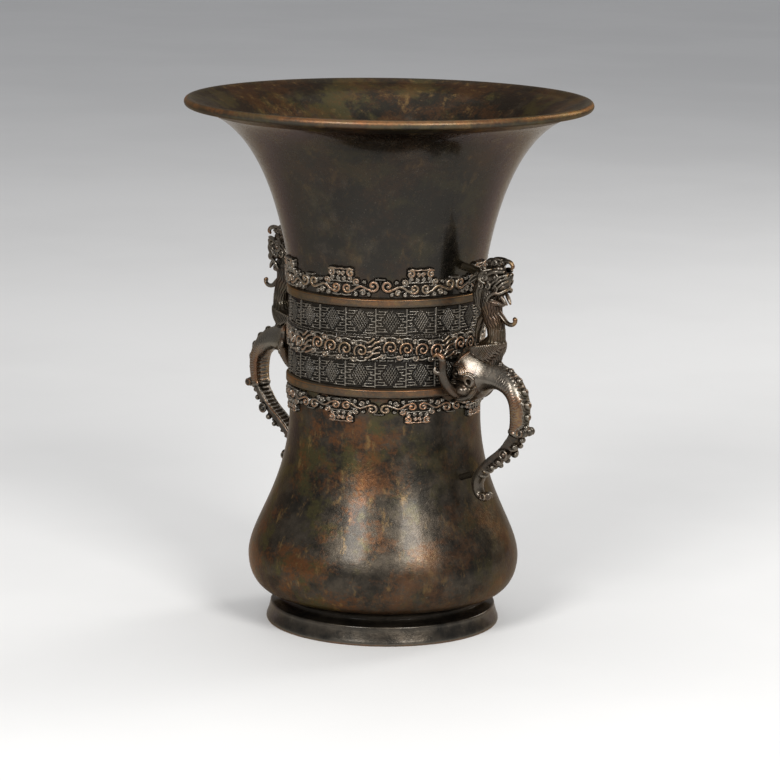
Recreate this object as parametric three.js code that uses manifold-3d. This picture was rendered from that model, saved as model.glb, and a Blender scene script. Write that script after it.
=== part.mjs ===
// Bronze hu vessel: a splayed foot, a low round belly, a banded waist, a trumpet mouth
// and two handles, each an elephant-headed beast that carries a crested dragon.
// Millimetres, +Z up, origin on the floor at the middle of the foot, handles along X.
import * as THREE from 'three';
import { mergeVertices } from 'three/addons/utils/BufferGeometryUtils.js';
import Module from 'manifold-3d';

// Fits
const GAP = 0.3;
const WALL = 3.6;
const LAP = 6;

// Foot
const FOOT_R = 66.8;
const FOOT_TOP_R = 64.3;
const FOOT_H = 11;
const FOOT_RING_W = 6.5;
const FOOT_EDGE = 1;
const CAVETTO_R = 57;
const CAVETTO_H = 6.5;
const FLOOR_HOLE_R = 50;
const FLOOR_T = 3;
const FLOOR_FLANGE = 6;
const FLOOR_SPIGOT_W = 4;
const FLOOR_SPIGOT_H = 8;

// Belly
const BELLY_R = 77.4;
const BELLY_CORNER_R = 70;
const BELLY_CORNER_RISE = 3;
const BELLY_RISE = 20.5;
const BELLY_H = 106.5;
const BELLY_FULLNESS = 19;
const BELLY_EASE = 46;

// Waist registers, from the bottom up
const WAIST_R = 54.4;
const RING_T = 1.5;
const RELIEF = 1.5;
const CLOUD_RELIEF = 1.6;
const STRIP_PROUD = 0.5;
const FILLET_PROUD = 2.2;
const CLOUD_STRIP_H = 5.6;
const LOWER_CLOUD_H = 14.6;
const FILLET_H = 6.2;
const FRET_H = 14.6;
const MIDDLE_CLOUD_H = 15.4;
const UPPER_CLOUD_H = 17;
const CLOUD_HEADS = 8;
const CLOUD_TURN = THREE.MathUtils.degToRad(16);
const CLOUD_HEAD_W = 20;
const FRET_UNITS = 20;
const FRET_LOZENGE_W = 10;
const SCROLLS = 12;
const SCROLL_R = 5.6;

// Neck and mouth
const NECK_STEP = 1;
const NECK_H = 93.8;
const NECK_LEAN = 4.6;
const NECK_PULL = 32;
const MOUTH_R = 115;
const RIM_W = 16;
const LIP_H = 5;
const LIP_PULL = 40;
const LIP_DROP = 5;
const TONGUE_W = 1.6;
const TONGUE_H = 1.2;
const TONGUE_SETBACK = 2.4;

// Rivets that pin the handles
const RIVET_R = 2;
const RIVET_HEAD_R = 4;
const RIVET_HEAD_H = 1.8;
const RIVET_GRIP = 7;
const LUG_R = 3.6;

// Handles, drawn in equal parts of their reach from the waist
const HANDLE_REACH = 45;
const HANDLE_PARTS = 45;
const KNOB_PARTS = 2.1;
const CHANNEL_PARTS = 1.6;
const SPINE_KNOBS = 6;

// Facets
const RING_SIDES = 24;
const SWEEP_SIDES = 8;
const HORN_SIDES = 6;
const PIN_SIDES = 6;

const BRONZE = { color: 0x2b241c, roughness: 0.38, metalness: 1 };
const WORN_BRONZE = { color: 0x5a3a22, roughness: 0.34, metalness: 1 };
const BELLY_BRONZE = { color: 0x3d2f1c, roughness: 0.3, metalness: 1 };

const wasm = await Module();
wasm.setup();

const v2 = (r, z) => new THREE.Vector2(r, z);

// Heights of the joints and registers
const zUnder = FOOT_H + CAVETTO_H;
const zWaist = zUnder + BELLY_H;
const zBellyTop = zWaist + LOWER_CLOUD_H - CLOUD_STRIP_H;
const zLowerFillet = zBellyTop + CLOUD_STRIP_H;
const zLowerFret = zLowerFillet + FILLET_H;
const zMiddleCloud = zLowerFret + FRET_H;
const zUpperFret = zMiddleCloud + MIDDLE_CLOUD_H;
const zUpperFillet = zUpperFret + FRET_H;
const zUpperStrip = zUpperFillet + FILLET_H;
const zNeck = zUpperStrip + CLOUD_STRIP_H;
const zLip = zNeck + NECK_H;
const zSeat = zLowerFret + FRET_H / 2;

// Radii of the sleeve, its rings and their relief
const ringInner = WAIST_R - RING_T;
const sleeveR = ringInner - GAP;
const sleeveBore = sleeveR - WALL;
const reliefR = WAIST_R + RELIEF;
const filletR = WAIST_R + FILLET_PROUD;
const neckR = WAIST_R + NECK_STEP;

// Closed solids from three.js geometry
function signedVolume(position, index) {
  const a = new THREE.Vector3();
  const b = new THREE.Vector3();
  const c = new THREE.Vector3();
  let volume = 0;
  for (let i = 0; i < index.length; i += 3) {
    a.fromBufferAttribute(position, index[i]);
    b.fromBufferAttribute(position, index[i + 1]);
    c.fromBufferAttribute(position, index[i + 2]);
    volume += a.dot(b.cross(c)) / 6;
  }
  return volume;
}

function solid(geometry) {
  const bare = geometry.clone();
  bare.deleteAttribute('normal');
  bare.deleteAttribute('uv');
  const merged = mergeVertices(bare, 1e-4);
  const source = merged.index.array;
  const index = [];
  for (let i = 0; i < source.length; i += 3) {
    const [a, b, c] = [source[i], source[i + 1], source[i + 2]];
    if (a !== b && b !== c && c !== a) index.push(a, b, c);
  }
  if (signedVolume(merged.attributes.position, index) < 0) index.reverse();
  return new wasm.Manifold(new wasm.Mesh({
    numProp: 3,
    vertProperties: new Float32Array(merged.attributes.position.array),
    triVerts: new Uint32Array(index),
  }));
}

function geometryOf(body) {
  const mesh = body.getMesh();
  const geometry = new THREE.BufferGeometry();
  geometry.setAttribute('position', new THREE.BufferAttribute(mesh.vertProperties, 3));
  geometry.setIndex(new THREE.BufferAttribute(mesh.triVerts, 1));
  geometry.computeVertexNormals();
  return geometry;
}

const join = (bodies) => bodies.reduce((all, body) => all.add(body));
const cut = (body, tools) => tools.reduce((left, tool) => left.subtract(tool), body);

// Turned shapes: a closed profile, or one that starts and ends on the axis
function turned(profile, sides = RING_SIDES) {
  const onAxis = profile[0].x === 0;
  const points = onAxis ? profile : [...profile, profile[0].clone()];
  return solid(new THREE.LatheGeometry(points, sides).rotateX(Math.PI / 2));
}

const ring = (inner, outer, z0, z1) =>
  turned([v2(inner, z0), v2(outer, z0), v2(outer, z1), v2(inner, z1)]);

// A profile moved towards the axis side by a distance
function inset(points, distance) {
  return points.map((point, i) => {
    const before = points[Math.max(i - 1, 0)];
    const after = points[Math.min(i + 1, points.length - 1)];
    const along = after.clone().sub(before).normalize();
    return v2(point.x - along.y * distance, point.y + along.x * distance);
  });
}

function solve(f, target, low, high) {
  for (let i = 0; i < 40; i += 1) {
    const middle = (low + high) / 2;
    if (f(middle) < target) low = middle;
    else high = middle;
  }
  return (low + high) / 2;
}

// Outer curves of the two large castings
const bellyCorner = v2(BELLY_CORNER_R, zUnder + BELLY_CORNER_RISE);
const bellyWidest = v2(BELLY_R, zUnder + BELLY_RISE);
const bellyTurn = new THREE.QuadraticBezierCurve(
  bellyCorner, v2(BELLY_R, (bellyCorner.y + bellyWidest.y) / 2 - BELLY_CORNER_RISE), bellyWidest);
const bellyFlank = new THREE.CubicBezierCurve(
  bellyWidest, v2(BELLY_R, bellyWidest.y + BELLY_FULLNESS),
  v2(WAIST_R, zWaist - BELLY_EASE), v2(WAIST_R, zWaist));
const neckCurve = new THREE.CubicBezierCurve(
  v2(neckR, zNeck), v2(neckR + NECK_LEAN, zNeck + NECK_PULL),
  v2(MOUTH_R - LIP_H / 2 - LIP_PULL, zLip - LIP_DROP), v2(MOUTH_R - LIP_H / 2, zLip));

function radiusOn(curve, z) {
  return curve.getPoint(solve((t) => curve.getPoint(t).y, z, 0, 1)).x;
}

// Radius of the finished wall at a height, without its relief
function wallR(z) {
  if (z >= zNeck) return radiusOn(neckCurve, z);
  if (z >= zWaist) return WAIST_R;
  return z >= bellyWidest.y ? radiusOn(bellyFlank, z) : radiusOn(bellyTurn, z);
}

const bellyOutline = [...bellyTurn.getPoints(2), ...bellyFlank.getPoints(6).slice(1)];

// A slice of the wall, grown by a distance, for seating what lies against it
function wallSlice(z0, z1, steps, grow) {
  const heights = Array.from({ length: steps + 1 }, (_, i) => z0 + ((z1 - z0) * i) / steps);
  return turned([v2(0, z0), ...heights.map((z) => v2(wallR(z) + grow, z)), v2(0, z1)]);
}

// The waist out to its fillets, for seating the beast's mouth
const bandedWaist = () => turned([
  v2(0, zWaist - FRET_H), v2(filletR + GAP, zWaist - FRET_H),
  v2(filletR + GAP, zUpperFillet), v2(0, zUpperFillet),
]);

// One part of a handle, and a place on it: out from the relief, to the side, up from the beast's seat
const part = HANDLE_REACH / HANDLE_PARTS;
const onHandle = (out, side, up) => new THREE.Vector3(reliefR + out * part, side * part, zSeat + up * part);

// Sweeps along a spine of [out, side, up, half width, half depth] stations, all in parts
function sweep(stations, grow = 0, sides = SWEEP_SIDES) {
  const spine = new THREE.CatmullRomCurve3(stations.map(([out, side, up]) => onHandle(out, side, up)));
  const last = stations.length - 1;
  const positions = [];
  const sideways = new THREE.Vector3(0, 1, 0);
  stations.forEach(([, , , halfWidth, halfDepth], i) => {
    const place = spine.getPoint(i / last);
    const along = spine.getTangent(i / last);
    const across = sideways.clone().addScaledVector(along, -sideways.dot(along)).normalize();
    const normal = across.clone().cross(along);
    if (i === 0) place.addScaledVector(along, -grow);
    if (i === last) place.addScaledVector(along, grow);
    for (let k = 0; k < sides; k += 1) {
      const angle = (k / sides) * Math.PI * 2;
      const point = place.clone()
        .addScaledVector(across, (halfWidth * part + grow) * Math.sin(angle))
        .addScaledVector(normal, (halfDepth * part + grow) * Math.cos(angle));
      positions.push(point.x, point.y, point.z);
    }
  });
  for (const [t, way] of [[0, -1], [1, 1]]) {
    const [, , , halfWidth, halfDepth] = stations[t * last];
    const bulge = grow + (Math.min(halfWidth, halfDepth) * part) / 2;
    const tip = spine.getPoint(t).addScaledVector(spine.getTangent(t), way * bulge);
    positions.push(tip.x, tip.y, tip.z);
  }
  const index = [];
  for (let i = 0; i < last; i += 1) {
    for (let k = 0; k < sides; k += 1) {
      const a = i * sides + k;
      const b = i * sides + ((k + 1) % sides);
      index.push(a, b, b + sides, a, b + sides, a + sides);
    }
  }
  const foot = (last + 1) * sides;
  for (let k = 0; k < sides; k += 1) {
    const next = (k + 1) % sides;
    index.push(foot, next, k);
    index.push(foot + 1, last * sides + k, last * sides + next);
  }
  const geometry = new THREE.BufferGeometry();
  geometry.setAttribute('position', new THREE.Float32BufferAttribute(positions, 3));
  geometry.setIndex(index);
  return solid(geometry);
}

const horn = (stations, grow = 0) => sweep(stations, grow, HORN_SIDES);

function ellipsoid(centre, halves, { grow = 0, around = 8, over = 6 } = {}) {
  const place = onHandle(...centre);
  const [halfX, halfY, halfZ] = halves.map((half) => half * part + grow);
  return solid(new THREE.SphereGeometry(1, around, over)
    .rotateX(Math.PI / 2)
    .scale(halfX, halfY, halfZ)
    .translate(place.x, place.y, place.z));
}

// Relief bent round the wall: a flat shape, u along the wall and v up, becomes a raised solid
function bent(shape, angle, z0, radiusAt, low, high) {
  const geometry = new THREE.ExtrudeGeometry(shape, {
    depth: high - low, bevelEnabled: false, steps: 1, curveSegments: 2,
  });
  const position = geometry.attributes.position;
  for (let i = 0; i < position.count; i += 1) {
    const z = z0 + position.getY(i);
    const turn = angle + position.getX(i) / WAIST_R;
    const radius = radiusAt(z) + low + position.getZ(i);
    position.setXYZ(i, radius * Math.cos(turn), radius * Math.sin(turn), z);
  }
  return solid(geometry);
}

const aroundWall = (count, start, make) =>
  Array.from({ length: count }, (_, i) => make(start + (i / count) * Math.PI * 2, i));

// Handle: spines of its pieces, as stations for the sweep
const tailStation = [15, 0, -60.5, 4, 2.8];
const archSpine = [
  [16, 0, -0.5, 8.4, 8.6], [23, 0, 0.4, 8.8, 8], [30.6, 0, 0, 8.2, 7], [38.5, 0, -4, 7, 5.8],
  [43.8, 0, -11, 6, 4.8], [45, 0, -19, 5.5, 4.2], [43.6, 0, -28, 5.2, 4],
  [39, 0, -36, 5, 3.7], [32.6, 0, -42.5, 4.9, 3.4], [25.6, 0, -48, 4.7, 3.2], [19, 0, -54, 4.4, 3],
  tailStation, [15.6, 0, -67, 3.6, 2.5], [19.6, 0, -69.5, 3.2, 2.2], [23, 0, -67, 2.4, 1.9],
];
const neckSpine = [
  [24.3, 0, 4, 3, 3], [24.8, 0, 10, 3.2, 3.2], [25.8, 0, 17, 5, 5], [26.6, 0, 23, 5, 4.8],
  [25.6, 0, 29, 5, 5], [23.8, 0, 36, 5.6, 6], [21.6, 0, 43, 6.2, 7], [20.6, 0, 49, 5, 5],
];
const lockSpine = [
  [21, 0, 37, 2.4, 2.4], [16.4, 0, 31, 2.2, 2.2], [13.6, 0, 24.5, 2.2, 2], [12.6, 0, 18, 2, 1.8],
];
const hookSpine = [
  [26.5, 0, 37, 1.8, 1.8], [30.4, 0, 33.6, 1.8, 1.8], [34, 0, 30.8, 1.8, 1.8],
  [37.6, 0, 30.6, 1.7, 1.7], [39.6, 0, 32.8, 1.5, 1.5], [38.2, 0, 34.6, 1.3, 1.3],
];
const tuskSpine = (way) => [
  [8, way * 6, -11, 3, 3], [4.4, way * 11.5, -8.6, 2.8, 2.8], [2.2, way * 16, -3.6, 2.5, 2.5],
  [1.4, way * 18, 2, 2.3, 2.3], [2.2, way * 16.6, 8, 2.1, 2.1], [1.6, way * 18.2, 11.8, 1.7, 1.7],
  [0.6, way * 20.8, 12.6, 1.2, 1.2],
];
const earSpine = (way) => [
  [22.5, way * 5.5, 56, 1.8, 2], [18.5, way * 8.5, 55.4, 2.2, 2.6], [14.5, way * 9.6, 53, 1.4, 1.8],
  [12.6, way * 9.4, 50.6, 0.8, 0.8],
];
const crestSpine = [
  [22, 0, 58, 2.4, 2.4], [23.6, 0, 62.5, 2.4, 2.2], [27.4, 0, 65.4, 2.6, 1.8], [32.6, 0, 65.4, 2.4, 1.6],
  [36.4, 0, 63, 1.6, 1.3], [35.8, 0, 60.6, 1, 1],
];
const collarFoot = { centre: [24.4, 0, 8.6], halves: [7.8, 7.4, 1.2] };
const collarRim = { centre: [18.9, 0, 16.6], halves: [13.4, 8.6, 1.4] };

// Rivets: a domed head inside the wall, clear of its hollow, and a shank out into the handle
function rivetProfile({ bore, span }) {
  const face = -GAP - RIVET_HEAD_R ** 2 / bore;
  const end = span + RIVET_GRIP;
  return [
    v2(0, face - RIVET_HEAD_H), v2(RIVET_HEAD_R * 0.7, face - RIVET_HEAD_H * 0.8), v2(RIVET_HEAD_R, face),
    v2(RIVET_R, face), v2(RIVET_R, end), v2(0, end),
  ];
}

function boreProfile({ span }) {
  const start = -RIVET_HEAD_H - WALL;
  const end = span + RIVET_GRIP + GAP;
  return [v2(0, start), v2(RIVET_R + GAP, start), v2(RIVET_R + GAP, end), v2(0, end)];
}

// A turned body laid along the wall's outward direction, from a point on the wall's bore
function pinned(profile, { bore, z, tilt }) {
  return solid(new THREE.LatheGeometry(profile, PIN_SIDES)
    .rotateZ(-Math.PI / 2)
    .rotateY(-tilt)
    .translate(bore, 0, z));
}

const halfTurn = new THREE.Matrix4().makeRotationZ(Math.PI);
const turnedRound = (body) => body.transform(halfTurn.elements);
const onBothSides = (bodies) => [...bodies, ...bodies.map(turnedRound)];

// The three seats of a handle: on the neck, on the waist and on the belly
const zNape = zNeck + LAP + RIVET_HEAD_R + GAP;
const zTail = onHandle(...tailStation).z;
function seatOn(z) {
  const tilt = Math.atan2(wallR(z - 1) - wallR(z + 1), 2);
  return { bore: wallR(z) - WALL / Math.cos(tilt), z, tilt, span: WALL + CLOUD_RELIEF };
}

const seats = {
  nape: seatOn(zNape),
  seat: { bore: sleeveBore, z: zSeat, tilt: 0, span: reliefR - sleeveBore },
  tail: seatOn(zTail),
};
const rivet = (seat) => pinned(rivetProfile(seat), seat);
const rivetBore = (seat) => pinned(boreProfile(seat), seat);
const wallBores = (...names) => onBothSides(names.map((name) => rivetBore(seats[name])));

// Shells
function footRing() {
  const hollow = FOOT_R - FOOT_RING_W;
  const seat = zUnder - GAP;
  return turned([
    v2(hollow, 0), v2(FOOT_R - FOOT_EDGE / 2, 0), v2(FOOT_R, FOOT_EDGE),
    v2(FOOT_TOP_R, FOOT_H - FOOT_EDGE), v2(FOOT_TOP_R - FOOT_EDGE, FOOT_H),
    v2(CAVETTO_R + FOOT_EDGE, FOOT_H + FOOT_EDGE),
    v2(CAVETTO_R, FOOT_H + CAVETTO_H / 2),
    v2(CAVETTO_R + FOOT_EDGE, seat - FOOT_EDGE), v2(CAVETTO_R + 3 * FOOT_EDGE, seat),
    v2(FLOOR_HOLE_R, seat), v2(FLOOR_HOLE_R, FOOT_H - WALL / 2),
  ]);
}

function floorPlate() {
  const ledge = zUnder + WALL + GAP;
  const spigot = FLOOR_HOLE_R - GAP;
  const bottom = ledge - FLOOR_SPIGOT_H;
  const recess = spigot - FLOOR_SPIGOT_W;
  return turned([
    v2(0, ledge), v2(recess, ledge), v2(recess, bottom), v2(spigot, bottom), v2(spigot, ledge),
    v2(FLOOR_HOLE_R + FLOOR_FLANGE, ledge), v2(FLOOR_HOLE_R + FLOOR_FLANGE, ledge + FLOOR_T),
    v2(0, ledge + FLOOR_T),
  ]);
}

function belly() {
  const inside = inset(bellyOutline, WALL).filter((p, i) => p.y > zUnder + WALL && i % 2 === 0);
  const shell = turned([
    v2(FLOOR_HOLE_R, zUnder), v2(CAVETTO_R + 3 * FOOT_EDGE, zUnder),
    ...bellyOutline,
    v2(WAIST_R, zBellyTop), v2(ringInner, zBellyTop),
    v2(ringInner, zBellyTop - LAP), v2(WAIST_R - WALL, zBellyTop - LAP),
    ...inside.reverse(),
    v2(inside.at(-1).x, zUnder + WALL), v2(FLOOR_HOLE_R, zUnder + WALL),
  ]);
  return cut(shell, wallBores('tail'));
}

function waistSleeve() {
  const sleeve = ring(sleeveBore, sleeveR, zBellyTop - LAP + GAP, zNeck + LAP - GAP);
  return cut(sleeve, wallBores('seat'));
}

const rimJointT = solve((t) => neckCurve.getPoint(t).x, MOUTH_R - RIM_W, 0, 1);
const rimJoint = neckCurve.getPoint(rimJointT);
const flareInside = inset(neckCurve.getPoints(40), WALL);
const jointInside = flareInside.findLast((p) => p.y < rimJoint.y);
const tongueR = rimJoint.x - TONGUE_SETBACK;

function neck() {
  const outside = neckCurve.getPoints(6).filter((p) => p.x < rimJoint.x - GAP);
  const inside = inset(neckCurve.getPoints(6), WALL).filter((p) => p.y < rimJoint.y - GAP);
  const shell = turned([
    v2(ringInner, zNeck), ...outside, rimJoint,
    v2(tongueR + TONGUE_W / 2, rimJoint.y), v2(tongueR + TONGUE_W / 2, rimJoint.y + TONGUE_H),
    v2(tongueR - TONGUE_W / 2, rimJoint.y + TONGUE_H), v2(tongueR - TONGUE_W / 2, rimJoint.y),
    v2(jointInside.x, rimJoint.y),
    ...inside.filter((p) => p.y > zNeck + LAP + GAP).reverse(),
    v2(wallR(zNeck + LAP) - WALL, zNeck + LAP), v2(ringInner, zNeck + LAP),
  ]);
  return cut(shell, wallBores('nape'));
}

function mouthRim() {
  const seat = rimJoint.y + GAP;
  const outside = neckCurve.getPoints(15).filter((p) => p.x > rimJoint.x + GAP && p.x < MOUTH_R - LIP_H);
  const inside = inset(neckCurve.getPoints(15), WALL)
    .filter((p) => p.y > seat + GAP && p.x < rimJoint.x);
  const bead = v2(MOUTH_R - LIP_H / 2, zLip + LIP_H / 2);
  const lip = [-90, -30, 30, 90].map((degrees) => {
    const angle = THREE.MathUtils.degToRad(degrees);
    return v2(bead.x + (LIP_H / 2) * Math.cos(angle), bead.y + (LIP_H / 2) * Math.sin(angle));
  });
  return turned([
    v2(rimJoint.x + GAP, seat), ...outside, ...lip,
    ...inside.reverse(),
    v2(jointInside.x + GAP, seat),
    v2(tongueR - TONGUE_W / 2 - GAP, seat), v2(tongueR - TONGUE_W / 2 - GAP, seat + TONGUE_H),
    v2(tongueR + TONGUE_W / 2 + GAP, seat + TONGUE_H), v2(tongueR + TONGUE_W / 2 + GAP, seat),
  ]);
}

// Rings of the waist
function filletBand(z) {
  const edge = (filletR - WAIST_R) / 2;
  return turned([
    v2(ringInner, z), v2(WAIST_R, z), v2(filletR, z + edge),
    v2(filletR, z + FILLET_H - GAP - edge), v2(WAIST_R, z + FILLET_H - GAP),
    v2(ringInner, z + FILLET_H - GAP),
  ]);
}

// One stepped cloud head: a wide pair of scrolls and a narrower pair at its tip
function cloudHead(height, way) {
  const tiers = [[1, 0], [1, 0.48], [0.74, 0.56], [0.64, 1]];
  const side = tiers.map(([reach, tier]) => v2((reach * CLOUD_HEAD_W) / 2, way * tier * height));
  const otherSide = side.map((point) => v2(-point.x, point.y));
  return new THREE.Shape([...side, ...otherSide.reverse()]);
}

// A strip round the waist with cloud heads that lie on the wall beside it
function cloudFrieze(z0, z1, height, way) {
  const strip = ring(ringInner, WAIST_R + CLOUD_RELIEF + STRIP_PROUD, z0, z1);
  const edge = way > 0 ? z1 : z0;
  const tip = edge + way * height;
  const heads = aroundWall(CLOUD_HEADS, CLOUD_TURN, (angle) =>
    bent(cloudHead(height + GAP, way), angle, edge - way * GAP, wallR, -RING_T / 2, CLOUD_RELIEF));
  const end = tip + way * GAP;
  const wall = turned([
    v2(0, edge), v2(wallR(edge + way * GAP) + GAP, edge), v2(wallR(end) + GAP, end), v2(0, end),
  ]);
  return join([strip, cut(join(heads), [wall])]);
}

const lowerCloudFrieze = () =>
  cloudFrieze(zBellyTop + GAP, zLowerFillet - GAP, LOWER_CLOUD_H - CLOUD_STRIP_H, -1);
const upperCloudFrieze = () => cloudFrieze(zUpperStrip, zNeck - GAP, UPPER_CLOUD_H - CLOUD_STRIP_H, 1);

// Key-fret register: a raised lozenge in each unit of the fret
function fretRegister(z, bores) {
  const height = FRET_H - GAP;
  const reach = height / 2 - GAP;
  const lozenge = new THREE.Shape([
    v2(-FRET_LOZENGE_W / 2, 0), v2(0, -reach), v2(FRET_LOZENGE_W / 2, 0), v2(0, reach),
  ]);
  const middle = z + height / 2;
  const ground = () => WAIST_R;
  const lozenges = aroundWall(FRET_UNITS, Math.PI / FRET_UNITS, (angle) =>
    bent(lozenge, angle, middle, ground, -RING_T / 2, RELIEF / 2));
  return cut(join([ring(ringInner, WAIST_R, z, z + height), ...lozenges]), bores);
}

// Running cloud scrolls, high and low in turn
function middleCloudFrieze() {
  const height = MIDDLE_CLOUD_H - GAP;
  const sides = Array.from({ length: HORN_SIDES }, (_, i) => (i / HORN_SIDES) * Math.PI * 2);
  const scroll = new THREE.Shape(sides.map((t) => v2(SCROLL_R * Math.cos(t), SCROLL_R * Math.sin(t))));
  const lean = (height / 2 - SCROLL_R) * 0.8;
  const middle = zMiddleCloud + height / 2;
  const scrolls = aroundWall(SCROLLS, 0, (angle, i) =>
    bent(scroll, angle, middle + (i % 2 ? lean : -lean), () => WAIST_R, -RING_T / 2, RELIEF));
  return join([ring(ringInner, WAIST_R, zMiddleCloud, zMiddleCloud + height), ...scrolls]);
}

// Knobs along the outer edge of the arch
function archKnobs() {
  const outer = archSpine.slice(3, 9);
  const curve = new THREE.CatmullRomCurve3(outer.map(([out, , up]) => new THREE.Vector3(out, 0, up)));
  const size = [KNOB_PARTS, KNOB_PARTS, KNOB_PARTS];
  return Array.from({ length: SPINE_KNOBS }, (_, i) => {
    const t = i / (SPINE_KNOBS - 1);
    const place = curve.getPoint(t);
    const along = curve.getTangent(t);
    const depth = THREE.MathUtils.lerp(outer[0][4], outer.at(-1)[4], t);
    return ellipsoid(
      [place.x - along.z * depth, 0, place.z + along.x * depth], size, { around: 5, over: 3 });
  });
}

// Lug between the tail and the belly, along the rivet's own direction
function tailLug() {
  const { bore, tilt } = seats.tail;
  const start = WALL + GAP + LUG_R ** 2 / bore;
  const reach = (onHandle(...tailStation).x - bore) / Math.cos(tilt);
  return pinned([v2(0, start), v2(LUG_R, start), v2(LUG_R, reach), v2(0, reach)], seats.tail);
}

function arch() {
  const channel = archSpine.slice(4, 11).map(([out, side, up, width, depth], i, path) => {
    const before = path[Math.max(i - 1, 0)];
    const after = path[Math.min(i + 1, path.length - 1)];
    const along = v2(after[0] - before[0], after[2] - before[2]).normalize();
    return [out + along.y * depth, side, up - along.x * depth, width * 0.65, CHANNEL_PARTS];
  });
  const body = join([sweep(archSpine), ...archKnobs(), tailLug()]);
  return cut(body, [sweep(channel), sweep(neckSpine.slice(0, 3), GAP), rivetBore(seats.tail)]);
}

const beastSkull = (grow) => ellipsoid([12, 0, 1], [12.5, 12.5, 13], { grow });
const beastBrow = (grow) => ellipsoid([8, 0, 8], [8, 9.5, 6.5], { grow });
const sideBoss = (centre, size) => [1, -1].map((way) =>
  ellipsoid([centre[0], way * centre[1], centre[2]], [size, size, size], { around: 6, over: 4 }));

function beastHead() {
  const jaw = ellipsoid([8, 0, -8], [10.5, 10.5, 8]);
  const head = join([beastSkull(0), beastBrow(0), jaw, ...sideBoss([7.5, 10.6, 2], 3)]);
  return cut(head, [
    sweep(archSpine.slice(0, 3), GAP), sweep(neckSpine.slice(0, 3), GAP),
    horn(tuskSpine(1).slice(0, 3), GAP), horn(tuskSpine(-1).slice(0, 3), GAP),
    bandedWaist(), rivetBore(seats.seat),
  ]);
}

// A cup that flares towards the wall, between a small foot and a wide rim
function collar() {
  const ends = [collarFoot, collarRim].map(({ centre, halves }) =>
    ellipsoid(centre, halves, { around: 12, over: 4 }));
  return cut(wasm.Manifold.hull(ends), [
    beastSkull(GAP), beastBrow(GAP), sweep(archSpine.slice(0, 6), GAP),
    sweep(neckSpine, GAP), sweep(lockSpine, GAP),
  ]);
}

function dragonNeck() {
  return cut(join([sweep(neckSpine), sweep(lockSpine)]), [horn(hookSpine.slice(0, 3), GAP)]);
}

function dragonHead() {
  const napeUp = (zNape - zSeat) / part;
  const wallReach = (wallR(zNape) - reliefR - RELIEF) / part;
  const mane = sweep([
    [wallReach, 0, napeUp, 4.6, 4.4], [10, 0, napeUp - 2, 5.6, 6], [20, 0, 55, 6.4, 6.6],
  ]);
  const snout = sweep([[24, 0, 55, 6.6, 5], [29.4, 0, 56.6, 5.4, 4], [33, 0, 57.4, 4, 2.8]]);
  const jaw = sweep([[23, 0, 48, 5.4, 3.2], [28, 0, 46.6, 4.6, 2.6], [31.6, 0, 46.4, 3, 2]]);
  const chinLock = horn([[30, 0, 46, 1.8, 1.8], [33, 0, 43.6, 1.6, 1.6], [35, 0, 41.8, 0.8, 0.8]]);
  const skull = ellipsoid([23, 0, 55], [9, 8, 7.6]);
  const head = join([skull, mane, snout, jaw, chinLock, ...sideBoss([29.6, 5.6, 58], 2)]);
  return cut(head, [
    sweep(neckSpine, GAP), horn(crestSpine.slice(0, 3), GAP),
    horn(earSpine(1).slice(0, 3), GAP), horn(earSpine(-1).slice(0, 3), GAP),
    wallSlice(zNape - FRET_H, zNape + FRET_H, 3, GAP), rivetBore(seats.nape),
  ]);
}

// Assembly
const vessel = new THREE.Group();

function add(parent, name, body, look) {
  const mesh = new THREE.Mesh(geometryOf(body), new THREE.MeshStandardMaterial(look));
  mesh.name = name;
  parent.add(mesh);
}

add(vessel, 'foot_ring', footRing(), BRONZE);
add(vessel, 'floor_plate', floorPlate(), BRONZE);
add(vessel, 'belly', belly(), BELLY_BRONZE);
add(vessel, 'waist_sleeve', waistSleeve(), BRONZE);
add(vessel, 'neck', neck(), BRONZE);
add(vessel, 'mouth_rim', mouthRim(), BRONZE);
add(vessel, 'lower_cloud_frieze', lowerCloudFrieze(), BRONZE);
add(vessel, 'lower_fillet_band', filletBand(zLowerFillet), WORN_BRONZE);
add(vessel, 'lower_fret_register', fretRegister(zLowerFret, wallBores('seat')), BRONZE);
add(vessel, 'middle_cloud_frieze', middleCloudFrieze(), BRONZE);
add(vessel, 'upper_fret_register', fretRegister(zUpperFret, []), BRONZE);
add(vessel, 'upper_fillet_band', filletBand(zUpperFillet), WORN_BRONZE);
add(vessel, 'upper_cloud_frieze', upperCloudFrieze(), BRONZE);

const handlePieces = [
  ['arch', arch(), BRONZE],
  ['beast_head', beastHead(), BRONZE],
  ['tusk_front', horn(tuskSpine(-1)), WORN_BRONZE],
  ['tusk_back', horn(tuskSpine(1)), WORN_BRONZE],
  ['collar', collar(), BRONZE],
  ['dragon_neck', dragonNeck(), BRONZE],
  ['dragon_head', dragonHead(), BRONZE],
  ['dragon_crest', horn(crestSpine), WORN_BRONZE],
  ['dragon_ear_front', horn(earSpine(-1)), BRONZE],
  ['dragon_ear_back', horn(earSpine(1)), BRONZE],
  ['beard_hook', horn(hookSpine), WORN_BRONZE],
  ['nape_rivet', rivet(seats.nape), WORN_BRONZE],
  ['seat_rivet', rivet(seats.seat), WORN_BRONZE],
  ['tail_rivet', rivet(seats.tail), WORN_BRONZE],
];

for (const [side, turn] of [['right', 0], ['left', Math.PI]]) {
  const handle = new THREE.Group();
  handle.rotation.z = turn;
  for (const [name, body, look] of handlePieces) add(handle, `${side}_${name}`, body, look);
  vessel.add(handle);
}

export default vessel;
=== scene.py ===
import math

import bpy
import numpy as np
from bpy.props import FloatProperty, FloatVectorProperty, IntProperty, PointerProperty
from mathutils import Matrix, Vector


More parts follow.
